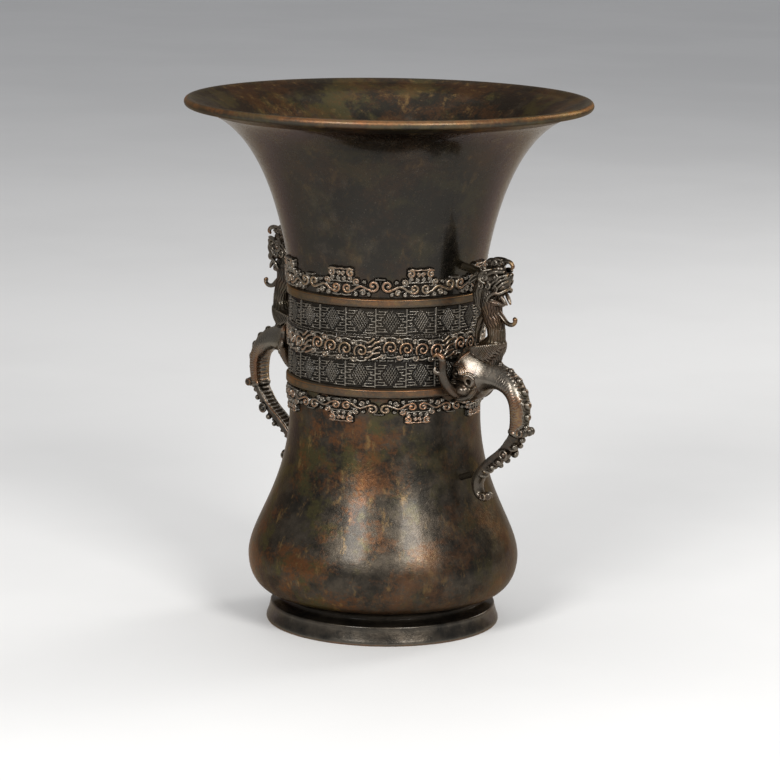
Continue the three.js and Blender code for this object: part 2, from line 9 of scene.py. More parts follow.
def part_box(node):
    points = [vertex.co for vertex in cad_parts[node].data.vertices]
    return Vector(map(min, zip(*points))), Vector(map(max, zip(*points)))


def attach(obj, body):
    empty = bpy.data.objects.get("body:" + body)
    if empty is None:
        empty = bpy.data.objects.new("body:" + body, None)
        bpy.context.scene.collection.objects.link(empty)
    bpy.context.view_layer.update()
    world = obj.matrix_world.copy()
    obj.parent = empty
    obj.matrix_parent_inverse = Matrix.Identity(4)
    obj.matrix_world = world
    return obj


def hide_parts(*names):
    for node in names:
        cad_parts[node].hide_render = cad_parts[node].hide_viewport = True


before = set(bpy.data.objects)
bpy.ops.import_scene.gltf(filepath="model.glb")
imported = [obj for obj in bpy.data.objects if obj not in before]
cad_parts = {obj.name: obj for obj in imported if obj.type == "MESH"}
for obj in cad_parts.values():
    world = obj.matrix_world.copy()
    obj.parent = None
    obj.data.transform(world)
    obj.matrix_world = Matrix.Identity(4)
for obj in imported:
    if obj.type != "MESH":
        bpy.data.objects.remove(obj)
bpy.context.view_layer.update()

bl_info = {
    "name": "Bronze hu vessel",
    "version": (1, 0, 0),
    "blender": (4, 5, 0),
    "location": "View3D > Sidebar > Hu vessel",
    "description": "A patinated bronze hu vase with cast friezes and beast-and-dragon handles",
    "category": "Object",
}

MM = 0.001

# Points nearer than this are one point, and edges sharper than this stay sharp on turned shells
WELD = 0.00002
SHARP = math.radians(34)

# Distance in millimetres that is past every line of relief and every soft joint of the clay
FAR = 9.0


def reach(node):
    """Radius, lowest and highest place of a turned node, in millimetres."""
    low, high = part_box(node)
    return high.x / MM, low.z / MM, high.z / MM


FOOT_R, _, FOOT_SEAT_Z = reach("foot_ring")
BELLY_R, BELLY_Z, BELLY_TOP_Z = reach("belly")
FLOOR_R, FLOOR_LOW_Z, FLOOR_TOP_Z = reach("floor_plate")
SLEEVE_R, SLEEVE_LOW_Z, SLEEVE_TOP_Z = reach("waist_sleeve")
RIM_JOINT_R, NECK_Z, _ = reach("neck")
MOUTH_R, _, TOP_Z = reach("mouth_rim")
FILLET_R, LOWER_FILLET_Z, _ = reach("lower_fillet_band")
SEAT_LOW, SEAT_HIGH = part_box("right_seat_rivet")
SEAT_Z = (SEAT_LOW.z + SEAT_HIGH.z) / 2 / MM

# Room between castings that slide over each other
FIT_GAP = 0.3

# Across the waist, outwards: the rings' inner face, their ground and their relief
RING_INNER_R = SLEEVE_R + FIT_GAP
WAIST_R = RING_INNER_R + 1.5
RELIEF_R = WAIST_R + 1.5
NECK_START_R = WAIST_R + 1.0

# The foot: opening through it, its hollow neck, and the edge that the belly sits on
BORE_R = 50.0
FOOT_NECK_R = 57.0
BELLY_SEAT_R = 60.0

# Units of the registers, and the height that a cloud head is drawn at
CLOUD_UNITS = 8
CLOUD_TURN = math.radians(16)
CLOUD_HEIGHT = 16.9
FRET_UNITS = 20
FRET_PITCH = 1.62
LOZENGE_HALF = 5.0

# A fret line's flank falls between these distances from its middle
FRET_FLANK = (0.24, 0.48)

# The lattice in a lozenge: distance between its lines, and how far they lean for each step up
LATTICE_PITCH = 1.55
LATTICE_LEAN = 0.62

# Rings run past their nodes by this much below and above, so that no gap shows between them
FIELD_LAP = (0.05, 0.25)
BAND_LAP = 0.2


# Settings


def a_length(name, description, default):
    return FloatProperty(name=name, description=description, default=default, unit="LENGTH")


def an_angle(name, description, degrees):
    return FloatProperty(name=name, description=description, default=math.radians(degrees), subtype="ANGLE")


def a_colour(name, description, default):
    return FloatVectorProperty(name=name, description=description, default=default, subtype="COLOR")


class HuShellSizes(bpy.types.PropertyGroup):
    """Sizes of the turned shells."""

    wall: a_length("Wall", "Thickness of the cast wall", 0.0036)
    lip: a_length("Lip", "Height of the rounded lip of the mouth", 0.005)
    turns: IntProperty(
        name="Sides", description="Number of sides that a turned shell is made with", default=192, min=24)


class HuReliefSizes(bpy.types.PropertyGroup):
    """Sizes of the cast relief on the waist."""

    fret: a_length("Fret relief", "Height of the key-fret's lines", 0.0009)
    cloud: a_length("Cloud relief", "Height of the cloud scrolls", 0.0022)
    plate: a_length("Cloud ground", "Height of the ground that the scrolls stand on", 0.0006)
    step: a_length("Relief grain", "Distance between points of the relief", 0.00026)


class HuHandleSizes(bpy.types.PropertyGroup):
    """Sizes of the handles' modelling."""

    grain: a_length("Clay grain", "Distance between points of the modelled handles", 0.00034)
    hair: a_length("Hair depth", "Depth of the furrows in the dragon's hair", 0.0005)
    knob: a_length("Knob", "Radius of the knobs along the arch", 0.0028)


class HuColours(bpy.types.PropertyGroup):
    """Colours of the bronze and the floor."""

    patina: a_colour("Patina", "Dark waxed patina", (0.019, 0.017, 0.014))
    umber: a_colour("Umber", "Brown bronze that shows through the patina", (0.062, 0.050, 0.037))
    rust: a_colour("Rust", "Red-brown mottling", (0.110, 0.046, 0.018))
    olive: a_colour("Olive", "Green-brown mottling", (0.058, 0.050, 0.022))
    gold: a_colour("Gold", "Rubbed golden bronze", (0.205, 0.128, 0.050))
    copper: a_colour("Copper", "Copper brown of worn high points", (0.320, 0.125, 0.040))
    # Pale bronze stands partly for rubbed edges and partly for painted highlights on edges and relief tops
    pale: a_colour("Pale bronze", "Grey bronze of rubbed edges", (0.175, 0.155, 0.125))
    # Black of the hollows: grime in crevices, and also painted shade in recesses and under overhangs
    grime_and_shade: a_colour("Grime", "Black of the hollows", (0.006, 0.005, 0.004))
    dust: a_colour("Dust", "Pale specks on the wax", (0.20, 0.18, 0.14))
    glance: a_colour("Glance", "Tint of light that glances off the bronze", (0.55, 0.43, 0.30))
    floor: a_colour("Floor", "Pale floor", (0.72, 0.71, 0.69))


class HuStage(bpy.types.PropertyGroup):
    """Where the camera stands and how bright the light is."""

    azimuth: an_angle("Azimuth", "Turn of the camera from the front", 42)
    elevation: an_angle("Elevation", "Height of the camera above level", 10.55)
    roll: an_angle("Roll", "Lean of the camera", 0.8)
    distance: a_length("Distance", "From the camera to the vessel's middle", 1.9)
    lens: FloatProperty(name="Lens", description="Focal length in millimetres", default=154.06)
    aim_right: a_length("Aim right", "How far right of the axis the camera aims", 0.0027)
    aim_down: a_length("Aim down", "How far below the middle the camera aims", 0.0165)
    key_power: FloatProperty(name="Softbox power", description="Watts of each front softbox", default=30.0)
    sky: FloatProperty(name="Room light", description="Strength of the light from all round", default=0.42)


# Shader values and finishes


class Flow:
    """A shader socket that takes part in plain arithmetic."""

    def __init__(self, finish, socket):
        self.finish = finish
        self.socket = socket

    def _math(self, operation, first, second):
        return self.finish.node("ShaderNodeMath", {"operation": operation}, {0: first, 1: second})

    def __add__(self, other):
        return self._math("ADD", self, other)

    def __radd__(self, other):
        return self._math("ADD", other, self)

    def __sub__(self, other):
        return self._math("SUBTRACT", self, other)

    def __rsub__(self, other):
        return self._math("SUBTRACT", other, self)

    def __mul__(self, other):
        return self._math("MULTIPLY", self, other)

    def __rmul__(self, other):
        return self._math("MULTIPLY", other, self)


class Finish:
    """One material and its nodes."""

    def __init__(self, name):
        self.material = bpy.data.materials.new(name)
        self.material.use_nodes = True
        self.tree = self.material.node_tree
        self.tree.nodes.clear()
        coordinates = self.tree.nodes.new("ShaderNodeTexCoord")
        self.place = Flow(self, coordinates.outputs["Object"])

    def node(self, kind, settings=None, sockets=None, out=0):
        """Any node: its type, its settings, then the values or links of its sockets."""
        node = self.tree.nodes.new(kind)
        for key, value in (settings or {}).items():
            setattr(node, key, value)
        for key, value in (sockets or {}).items():
            if isinstance(value, Flow):
                self.tree.links.new(value.socket, node.inputs[key])
            else:
                node.inputs[key].default_value = value
        return Flow(self, node.outputs[out])

    def noise(self, scale, detail=3.0, rough=0.55, stretch=None):
        place = self.place
        if stretch:
            place = self.node("ShaderNodeMapping", None, {0: self.place, 3: stretch})
        return self.node("ShaderNodeTexNoise", None,
                         {"Vector": place, "Scale": scale, "Detail": detail, "Roughness": rough})

    def between(self, value, low, high):
        """0 below low, 1 above high, smooth between."""
        return self.node("ShaderNodeMapRange", {"interpolation_type": "SMOOTHSTEP"},
                         {0: value, 1: low, 2: high})

    def mix(self, share, first, second):
        colours = [c if isinstance(c, Flow) else (*c, 1.0) for c in (first, second)]
        return self.node("ShaderNodeMix", {"data_type": "RGBA"},
                         {0: share, 6: colours[0], 7: colours[1]}, out=2)

    def attribute(self, name):
        return self.node("ShaderNodeAttribute", {"attribute_name": name}, out="Fac")

    def bump(self, height, depth, strength=1.0):
        return self.node("ShaderNodeBump", None,
                         {"Height": height, "Distance": depth, "Strength": strength})

    def surface(self, colour, roughness, normal, metallic, coat, coat_roughness, glance=(1.0, 1.0, 1.0)):
        shader = self.node("ShaderNodeBsdfPrincipled", None, {
            "Base Color": colour, "Roughness": roughness, "Metallic": metallic, "Normal": normal,
            "Coat Weight": coat, "Coat Roughness": coat_roughness, "Specular Tint": (*glance, 1.0)})
        output = self.tree.nodes.new("ShaderNodeOutputMaterial")
        self.tree.links.new(shader.socket, output.inputs["Surface"])
        return self.material


# edges is the share of pale bronze on convex places and relief tops: rubbed edges, and partly a painted
# highlight
FINISHES = {
    "dark bronze": {"rubbed": 0.35, "warm": 0.36, "rough": 0.33, "edges": 0.4},
    "cloud bronze": {"rubbed": 0.75, "warm": 0.38, "rough": 0.29, "edges": 0.85, "wax": 0.4},
    "fret bronze": {"rubbed": 0.1, "warm": 0.31, "rough": 0.34, "edges": 0.9, "wax": 0.3},
    "worn bronze": {"rubbed": 0.62, "warm": 0.5, "rough": 0.38, "edges": 0.06, "wax": 0.06, "mottled": 0.25},
    "belly bronze": {"rubbed": 0.4, "warm": 0.38, "rough": 0.35, "wax": 0.1, "mottled": 0.9,
                     "side": (-0.74, -0.67, 0.1)},
    "neck bronze": {"rubbed": 0.5, "warm": 0.25, "rough": 0.25, "mottled": 0.2, "rusty": 0.5, "lined": 0.6},
    "mouth bronze": {"rubbed": 0.6, "warm": 0.24, "rough": 0.44, "edges": 0.2, "wax": 0.05,
                     "mottled": 0.74, "rusty": 0.5},
    "handle bronze": {"rubbed": 0.88, "warm": 0.42, "rough": 0.3, "edges": 0.7, "wax": 0.36,
                      "mottled": 0.4, "bared": "rust"},
}


def mottling(finish, colours, colour, share, rusty, fine):
    """Patches of olive, rust, gold and dark patina over a colour."""
    patches = finish.noise(27.0, 8.0, 0.68, stretch=(1.0, 1.0, 1.35))
    rust = finish.between(patches + 0.30 * (fine - 0.5), 0.46, 0.64)
    olive = finish.between(finish.noise(41.0, 8.0, 0.68), 0.49, 0.62)
    grain = finish.noise(150.0, 8.0, 0.72, stretch=(1.0, 1.0, 0.45))
    streak = finish.between(grain + 0.25 * (patches - 0.5), 0.55, 0.70)
    dark = finish.between(finish.noise(120.0, 7.0, 0.7), 0.55, 0.68)
    colour = finish.mix(share * olive, colour, colours.olive)
    colour = finish.mix(rusty * share * rust, colour, colours.rust)
    colour = finish.mix(0.65 * share * streak, colour, colours.gold)
    return finish.mix(0.45 * share * dark, colour, colours.patina)


def bronze(name, colours, rubbed, warm, rough, edges=0.6, wax=0.25, mottled=0.0, rusty=0.9, lined=0.0,
           side=None, bared="copper"):
    """Cast bronze: waxed patina, brown clouding, pale edges that partly paint highlights, bared metal where
    hands rub, dark hollows that partly paint shade, fine casting skin.

    Patches have the share mottled, and lined more where the piece is marked as lining. They gather on the
    given side. Bared names the colour of the metal under the patina.
    """
    finish = Finish(name)
    broad = finish.noise(30.0, 4.0)
    cloud = finish.noise(95.0, 7.0, 0.66)
    fine = finish.noise(560.0, 4.0, 0.62)
    skin = finish.noise(2100.0, 2.0)
    wear = finish.attribute("wear")
    brown = finish.between(0.55 * cloud + 0.45 * broad + (warm - 0.35), 0.42, 0.66)
    colour = finish.mix(brown, colours.patina, colours.umber)
    if lined:
        lining = finish.attribute("lining")
        mottled = mottled + lined * lining
        rough = rough + 0.17 * lining
        wax = wax - 0.2 * lining
    if side:
        facing = finish.node("ShaderNodeVectorMath", {"operation": "DOT_PRODUCT"},
                             {0: finish.place, 1: side}, out="Value")
        mottled = mottled * (0.5 + 0.8 * finish.between(facing + 0.06 * (broad - 0.5), -0.03, 0.05))
    if mottled:
        colour = mottling(finish, colours, colour, mottled, rusty, fine)
    # Painted highlight: convex places and relief tops turn pale bronze, partly for rubbed edges and partly
    # for the light they catch
    bright = finish.between(wear + 0.25 * (cloud - 0.5), 0.05, 0.62)
    colour = finish.mix(edges * bright, colour, colours.pale)
    copper = finish.between(wear + 0.6 * (cloud - 0.5) + 0.4 * (fine - 0.5), 0.60, 1.0)
    golden = finish.between(0.6 * broad + 0.4 * fine, 0.46, 0.60)
    metal = finish.mix(golden, getattr(colours, bared), colours.gold)
    colour = finish.mix(rubbed * copper, colour, metal)
    # Painted shade: hollows and undersides darken towards black, partly for grime in them and partly for the
    # shade that falls there; the same mask roughens them and takes off the wax
    open_face = finish.between(wear, -0.6, -0.14)
    colour = finish.mix(0.85 - 0.85 * open_face, colour, colours.grime_and_shade)
    dust = finish.between(finish.noise(1150.0, 1.0), 0.70, 0.76)
    colour = finish.mix(0.25 * dust, colour, colours.dust)
    roughness = rough + 0.24 * (cloud - 0.5) + 0.26 * (fine - 0.5) + (0.3 - 0.3 * open_face)
    normal = finish.bump(0.6 * fine + 0.25 * skin + 0.5 * cloud, 0.00024, 0.8)
    return finish.surface(colour, roughness, normal, metallic=0.88, coat=wax * open_face,
                          coat_roughness=0.13, glance=colours.glance)


def finishes(colours):
    """The bronze finishes by name, each made once."""
    for name, traits in FINISHES.items():
        if name not in bpy.data.materials:
            bronze(name, colours, **traits)
    return bpy.data.materials


# Meshes and their places on the frame


def mesh_of(name, points, quads, wear):
    """A plain mesh from points in millimetres and four-cornered faces, with its wear."""
    mesh = bpy.data.meshes.new(name)
    mesh.vertices.add(len(points))
    mesh.vertices.foreach_set("co", (np.asarray(points) * MM).astype(np.float32).ravel())
    mesh.loops.add(4 * len(quads))
    mesh.loops.foreach_set("vertex_index", np.asarray(quads, np.int32).ravel())
    mesh.polygons.add(len(quads))
    mesh.polygons.foreach_set("loop_start", np.arange(0, 4 * len(quads), 4, dtype=np.int32))
    mesh.update(calc_edges=True)
    mesh.attributes.new("wear", "FLOAT", "POINT").data.foreach_set(
        "value", np.asarray(wear, np.float32).ravel())
    return mesh


def place(name, mesh):
    piece = bpy.data.objects.new(name, mesh)
    bpy.context.scene.collection.objects.link(piece)
    return piece


def seat(piece, slot, *nodes):
    """Puts a finished piece on the frame in place of its CAD nodes."""
    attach(piece, "root")
    if nodes:
        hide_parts(*nodes)


def new_tree(name, inputs):
    """An empty tree with one geometry in, named inputs and one geometry out."""
    tree = bpy.data.node_groups.new(name, "GeometryNodeTree")
    tree.interface.new_socket("Unit", in_out="INPUT", socket_type="NodeSocketGeometry")
    for label, kind in inputs:
        tree.interface.new_socket(label, in_out="INPUT", socket_type=kind)
    tree.interface.new_socket("Result", in_out="OUTPUT", socket_type="NodeSocketGeometry")
    return tree


def tree_node(tree, kind, sockets, **settings):
    """One node: its settings first, then the values or links of its sockets."""
    node = tree.nodes.new(kind)
    for key, value in settings.items():
        setattr(node, key, value)
    for key, value in sockets.items():
        if isinstance(value, bpy.types.NodeSocket):
            tree.links.new(value, node.inputs[key])
        else:
            node.inputs[key].default_value = value
    return node


def end_tree(tree, instances, merge, material):
    """Every tree ends alike: real geometry, welded when a distance is given, with its finish."""
    real = tree_node(tree, "GeometryNodeRealizeInstances", {0: instances})
    if merge is not None:
        real = tree_node(tree, "GeometryNodeMergeByDistance", {0: real.outputs[0], "Distance": merge})
    done = tree_node(tree, "GeometryNodeSetMaterial", {0: real.outputs[0], "Material": material})
    output = tree.nodes.new("NodeGroupOutput")
    tree.links.new(done.outputs[0], output.inputs[0])
    return tree


def round_axis_tree():
    """Sets copies of a sector side by side round the vessel's axis."""
    name = "round the axis"
    if name in bpy.data.node_groups:
        return bpy.data.node_groups[name]
    tree = new_tree(name, [("Count", "NodeSocketInt"), ("Start", "NodeSocketFloat"),
                           ("Weld", "NodeSocketFloat"), ("Finish", "NodeSocketMaterial")])
    given = tree.nodes.new("NodeGroupInput").outputs
    points = tree_node(tree, "GeometryNodePoints", {"Count": given["Count"]})
    number = tree.nodes.new("GeometryNodeInputIndex")
    step = tree_node(tree, "ShaderNodeMath", {0: math.tau, 1: given["Count"]}, operation="DIVIDE")
    turn = tree_node(tree, "ShaderNodeMath",
                     {0: number.outputs[0], 1: step.outputs[0], 2: given["Start"]}, operation="MULTIPLY_ADD")
    angle = tree_node(tree, "ShaderNodeCombineXYZ", {"Z": turn.outputs[0]})
    rotation = tree_node(tree, "FunctionNodeEulerToRotation", {0: angle.outputs[0]})
    copies = tree_node(tree, "GeometryNodeInstanceOnPoints", {
        "Points": points.outputs[0], "Instance": given["Unit"], "Rotation": rotation.outputs[0]})
    return end_tree(tree, copies.outputs[0], given["Weld"], given["Finish"])


def along_path_tree():
    """Sets copies of a small casting on the marked points of a path, each with its own turn and size."""
    name = "along a path"
    if name in bpy.data.node_groups:
        return bpy.data.node_groups[name]
    tree = new_tree(name, [("Path", "NodeSocketObject"), ("Finish", "NodeSocketMaterial")])
    given = tree.nodes.new("NodeGroupInput").outputs
    path = tree_node(tree, "GeometryNodeObjectInfo", {"Object": given["Path"]})
    points = tree_node(tree, "GeometryNodeMeshToPoints", {0: path.outputs["Geometry"]})
    aim = tree_node(tree, "GeometryNodeInputNamedAttribute", {"Name": "aim"}, data_type="FLOAT_VECTOR")
    size = tree_node(tree, "GeometryNodeInputNamedAttribute", {"Name": "size"}, data_type="FLOAT")
    rotation = tree_node(tree, "FunctionNodeEulerToRotation", {0: aim.outputs["Attribute"]})
    copies = tree_node(tree, "GeometryNodeInstanceOnPoints", {
        "Points": points.outputs[0], "Instance": given["Unit"], "Rotation": rotation.outputs[0],
        "Scale": size.outputs["Attribute"]})
    return end_tree(tree, copies.outputs[0], None, given["Finish"])


def grow(piece, tree, values):
    """Runs a tree on a piece and keeps its result as a plain mesh, with its finish in the only slot."""
    if not piece.data.materials:
        piece.data.materials.append(values["Finish"])
    modifier = piece.modifiers.new(tree.name, "NODES")
    modifier.node_group = tree
    for item in tree.interface.items_tree:
        if item.in_out == "INPUT" and item.name in values:
            modifier[item.identifier] = values[item.name]
    bpy.context.view_layer.update()
    graph = bpy.context.evaluated_depsgraph_get()
    result = bpy.data.meshes.new_from_object(
        piece.evaluated_get(graph), preserve_all_data_layers=True, depsgraph=graph)
    if not len(result.polygons):
        raise RuntimeError(f"{piece.name}: the tree made nothing")
    piece.modifiers.clear()
    unit = piece.data
    piece.data = result
    result.name = piece.name
    bpy.data.meshes.remove(unit)
    result.shade_smooth()
    return piece


def sector(name, angles, radius, height, wear):
    """One sector of a ring: closed across its section, open at its two sides. Rows follow the section."""
    columns, rows = radius.shape
    cos, sin = np.cos(angles)[:, None], np.sin(angles)[:, None]
    points = np.stack([radius * cos, radius * sin, height], -1).reshape(-1, 3)
    number = np.arange(columns * rows).reshape(columns, rows)
    after = np.roll(number, -1, 1)
    off_axis = np.maximum(radius, np.roll(radius, -1, 1))[:-1] > 1e-6
    quads = np.stack([number[:-1], number[1:], after[1:], after[:-1]], -1)[off_axis]
    return mesh_of(name, points, quads, wear)


def ring_piece(name, unit, count, start, material):
    """A full ring from one sector."""
    return grow(place(name, unit), round_axis_tree(), {
        "Count": count, "Start": start, "Weld": WELD, "Finish": material})


def turned(name, profile, material, sides):
    """A turned shell from its closed section of (radius, height, wear), outside upwards."""
    radius, height, wear = np.repeat(np.asarray(profile, float)[None], 2, 0).transpose(2, 0, 1)
    unit = sector(name, np.array([0.0, math.tau / sides]), radius, height, wear)
    piece = ring_piece(name, unit, sides, 0.0, material)
    piece.data.set_sharp_from_angle(angle=SHARP)
    return piece


def marked_path(name, marks):
    """A path's marked points: place in metres, turn and size of what is set on each."""
    mesh = bpy.data.meshes.new(name)
    mesh.from_pydata([spot for spot, _, _ in marks], [], [])
    mesh.attributes.new("aim", "FLOAT_VECTOR", "POINT").data.foreach_set(
        "vector", np.array([aim for _, aim, _ in marks], np.float32).ravel())
    mesh.attributes.new("size", "FLOAT", "POINT").data.foreach_set(
        "value", np.array([size for _, _, size in marks], np.float32))
    return place(name, mesh)


def set_on_path(name, unit, marks, material):
    """One piece made of copies of a unit on the marked points."""
    path = marked_path(f"{name}_path", marks)
    piece = grow(place(name, unit), along_path_tree(), {"Path": path, "Finish": material})
    mesh = path.data
    bpy.data.objects.remove(path)
    bpy.data.meshes.remove(mesh)
    return piece


def unit_mesh(name, profile, material, sides):
    """A small turned casting as a mesh for a tree."""
    piece = turned(name, profile, material, sides)
    mesh = piece.data
    bpy.data.objects.remove(piece)
    return mesh


# Outlines of the shells


def bezier(corners, count):
    """Points along a Bezier curve of any order."""
    corners = np.asarray(corners, float)
    t = np.linspace(0, 1, count)[:, None]
    level = [np.repeat(corner[None], count, 0) for corner in corners]
    while len(level) > 1:
        level = [a + (b - a) * t for a, b in zip(level, level[1:])]
    return level[0]


def inset(line, depth):
    """A line moved towards the axis by a depth, square to itself."""
    along = np.gradient(line, axis=0)
    along /= np.linalg.norm(along, axis=1)[:, None]
    return line + depth * np.stack([-along[:, 1], along[:, 0]], 1)


def arc(centre, radius, start, end, count):
    """Points along an arc between two angles in degrees."""
    t = np.radians(np.linspace(start, end, count))
    return np.stack([centre[0] + radius * np.cos(t), centre[1] + radius * np.sin(t)], 1)


def worn(line, wear):
    """A line with a wear for each of its points, given as one number or as stops along it."""
    line = np.asarray(line, float)
    if not np.isscalar(wear):
        wear = np.interp(np.linspace(0, 1, len(line)), np.linspace(0, 1, len(wear)), wear)
    return np.column_stack([line, np.broadcast_to(wear, len(line))])


def belly_line(count=72):
    """Outside of the belly from its foot to the waist."""
    corner, widest = (70.0, BELLY_Z + 3.0), (BELLY_R, BELLY_Z + 20.5)
    under = bezier([(BELLY_SEAT_R, BELLY_Z), (66.5, BELLY_Z + 0.6), corner], 8)
    turn = bezier([corner, (BELLY_R - 0.3, BELLY_Z + 8.8), widest], 18)
    flank = bezier([widest, (BELLY_R, widest[1] + 19.0), (WAIST_R, BELLY_TOP_Z - 55.0),
                    (WAIST_R, BELLY_TOP_Z - 9.0)], count)
    return np.vstack([under, turn[1:], flank[1:]])


def neck_line(count=120):
    """Outside of the neck and rim, from the waist to the lip."""
    lip_r, lip_z = MOUTH_R - 2.2, TOP_Z - 5.0
    return bezier([(NECK_START_R, NECK_Z), (NECK_START_R + 4.6, NECK_Z + 32.0), (lip_r - 40.0, lip_z - 5.0),
                   (lip_r, lip_z)], count)


def mark_lining(mesh, wall):
    """Marks the inside of the neck, which has the mouth's mottling."""
    points = np.empty(3 * len(mesh.vertices), np.float32)
    mesh.vertices.foreach_get("co", points)
    x, y, z = points.reshape(-1, 3).T / MM
    line = neck_line()
    lining = np.hypot(x, y) < np.interp(z, line[:, 1], line[:, 0]) - 0.3 * wall
    mesh.attributes.new("lining", "FLOAT", "POINT").data.foreach_set("value", lining.astype(np.float32))


def wall_radius(z):
    """Radius of the plain wall at a height on the waist or the neck."""
    line = neck_line()
    return np.where(z < NECK_Z - 20.0, WAIST_R, np.interp(z, line[:, 1], line[:, 0]))


# Relief of the waist


def smooth_path(points, steps=8):
    """Points along a smooth curve through the given ones."""
    p = np.asarray(points, float)
    held = np.vstack([2 * p[0] - p[1], p, 2 * p[-1] - p[-2]])
    t = np.linspace(0, 1, steps, endpoint=False)[:, None]
    runs = [0.5 * (2 * b + (c - a) * t + (2 * a - 5 * b + 4 * c - d) * t**2 + (3 * b - a - 3 * c + d) * t**3)
            for a, b, c, d in zip(held, held[1:], held[2:], held[3:])]
    return np.vstack(runs + [p[-1:]])


def scroll(centre, size, turns, start, way, tight=0.2, hook=1.0):
    """A spiral that winds in from its outside, from a start angle in degrees; a hook winds in late."""
    t = np.linspace(0, 1, int(16 * turns) + 1)
    angle = math.radians(start) + way * math.tau * turns * t
    radius = size * (1 - (1 - tight) * t**hook)
    return np.stack([centre[0] + radius * np.cos(angle), centre[1] + radius * np.sin(angle)], 1)


def distance_to(path, u, v):
    """Distance of each place to a line of points."""
    best = np.full(u.shape, np.inf)
    for (u0, v0), (u1, v1) in zip(path, path[1:]):
        du, dv = u1 - u0, v1 - v0
        t = np.clip(((u - u0) * du + (v - v0) * dv) / max(du * du + dv * dv, 1e-9), 0, 1)
        best = np.minimum(best, (u - u0 - t * du)**2 + (v - v0 - t * dv)**2)
    return np.sqrt(best)


def ramp(x, low, high):
    """0 below low, 1 above high, smooth between."""
    t = np.clip((x - low) / (high - low), 0, 1)
    return t * t * (3 - 2 * t)


def bell(x, middle, width):
    """1 at the middle, falling away to both sides."""
    return np.exp(-((x - middle) / width)**2)


def mirrored(strokes):
    """Strokes and their mirror images to the other side of the unit."""
    return [(path * [side, 1], width, tall) for path, width, tall in strokes for side in (1, -1)]


def cloud_head_strokes():
    """Strokes of a cloud head and its arms: path along the wall and off the fillet, half width, height."""
    hooks = [
        ((3.35, 5.0), 2.5, 1.2, -50, -1, 0.8, 1.0), ((17.5, 6.7), 3.0, 1.15, -130, 1, 0.9, 1.0),
        ((11.9, 2.7), 1.6, 1.1, 150, -1, 0.62, 0.9), ((7.9, 1.7), 1.15, 1.0, 100, -1, 0.55, 0.85),
        ((15.0, 1.7), 1.0, 0.9, 120, -1, 0.55, 0.75), ((8.6, 8.7), 1.7, 1.1, 230, -1, 0.65, 0.95),
        ((1.4, 10.2), 1.1, 1.0, 60, -1, 0.52, 0.85), ((4.9, 10.3), 1.2, 1.0, -60, 1, 0.55, 0.9),
        ((5.6, 13.4), 2.15, 1.15, 60, 1, 0.78, 1.0), ((1.5, 13.2), 1.2, 1.0, -100, -1, 0.58, 0.95),
        ((12.6, 8.5), 1.0, 0.9, -40, 1, 0.5, 0.75),
    ]
    lines = [
        (((4.9, 3.1), (6.8, 3.9), (8.8, 5.5), (11.2, 6.2), (13.4, 5.3), (15.6, 4.4)), 0.95, 0.95),
        (((5.9, 6.6), (7.0, 6.6), (9.4, 7.0)), 0.5, 0.7),
        (((19.0, 10.2), (21.3, 10.3)), 0.7, 0.7),
        (((0.5, 1.2), (2.6, 0.9), (5.2, 1.3)), 0.65, 0.75),
        (((0.2, 8.3), (3.0, 8.6), (6.2, 8.4)), 0.6, 0.8),
        (((6.8, 15.3), (5.0, 16.0), (2.4, 15.5), (0.0, 15.8)), 0.72, 0.95),
    ]
    strokes = [(scroll(at, size, turns, start, way, 0.12, 1.5), 1.12 * width, tall)
               for at, size, turns, start, way, width, tall in hooks]
    return mirrored(strokes + [(smooth_path(line), width, tall) for line, width, tall in lines])


def middle_strokes(period):
    """One group of four rolling scrolls and a burst of flames, repeated to both sides so that groups join."""
    group = []
    for k in range(4):
        u, v = -15.4 + 8.9 * k, 8.4 - 0.7 * k
        group += [
            (scroll((u, v), 4.1, 1.45, 215, -1, 0.1), 0.8, 1.0),
            (scroll((u - 4.4, v + 4.3), 1.7, 1.1, -30, 1, 0.1, 1.5), 0.72, 0.9),
            (scroll((u - 4.2, v - 4.7), 1.7, 1.1, 30, -1, 0.1, 1.5), 0.72, 0.9),
            (smooth_path([(u - 2.4, v + 5.5), (u - 0.2, v + 5.8), (u + 2.4, v + 5.2)]), 0.75, 0.8),
            (smooth_path([(u - 2.4, v - 5.4), (u + 0.2, v - 5.7), (u + 2.6, v - 5.1)]), 0.75, 0.8),
        ]
    flames = [
        ((13.6, 2.4), (15.6, 3.0), (17.8, 4.9), (21.2, 5.6)),
        ((15.2, 5.6), (17.0, 6.1), (19.0, 8.0), (21.6, 8.8)),
        ((15.2, 8.6), (17.0, 9.1), (18.8, 10.9), (21.4, 11.9)),
        ((17.4, 1.6), (19.8, 2.4), (22.6, 3.8)),
        ((14.6, 10.9), (16.2, 11.6), (18.2, 13.3)),
    ]
    group += [(smooth_path(line), 0.9, 0.95) for line in flames]
    return [(path + [shift, 0], width, tall) for path, width, tall in group for shift in (-period, 0, period)]


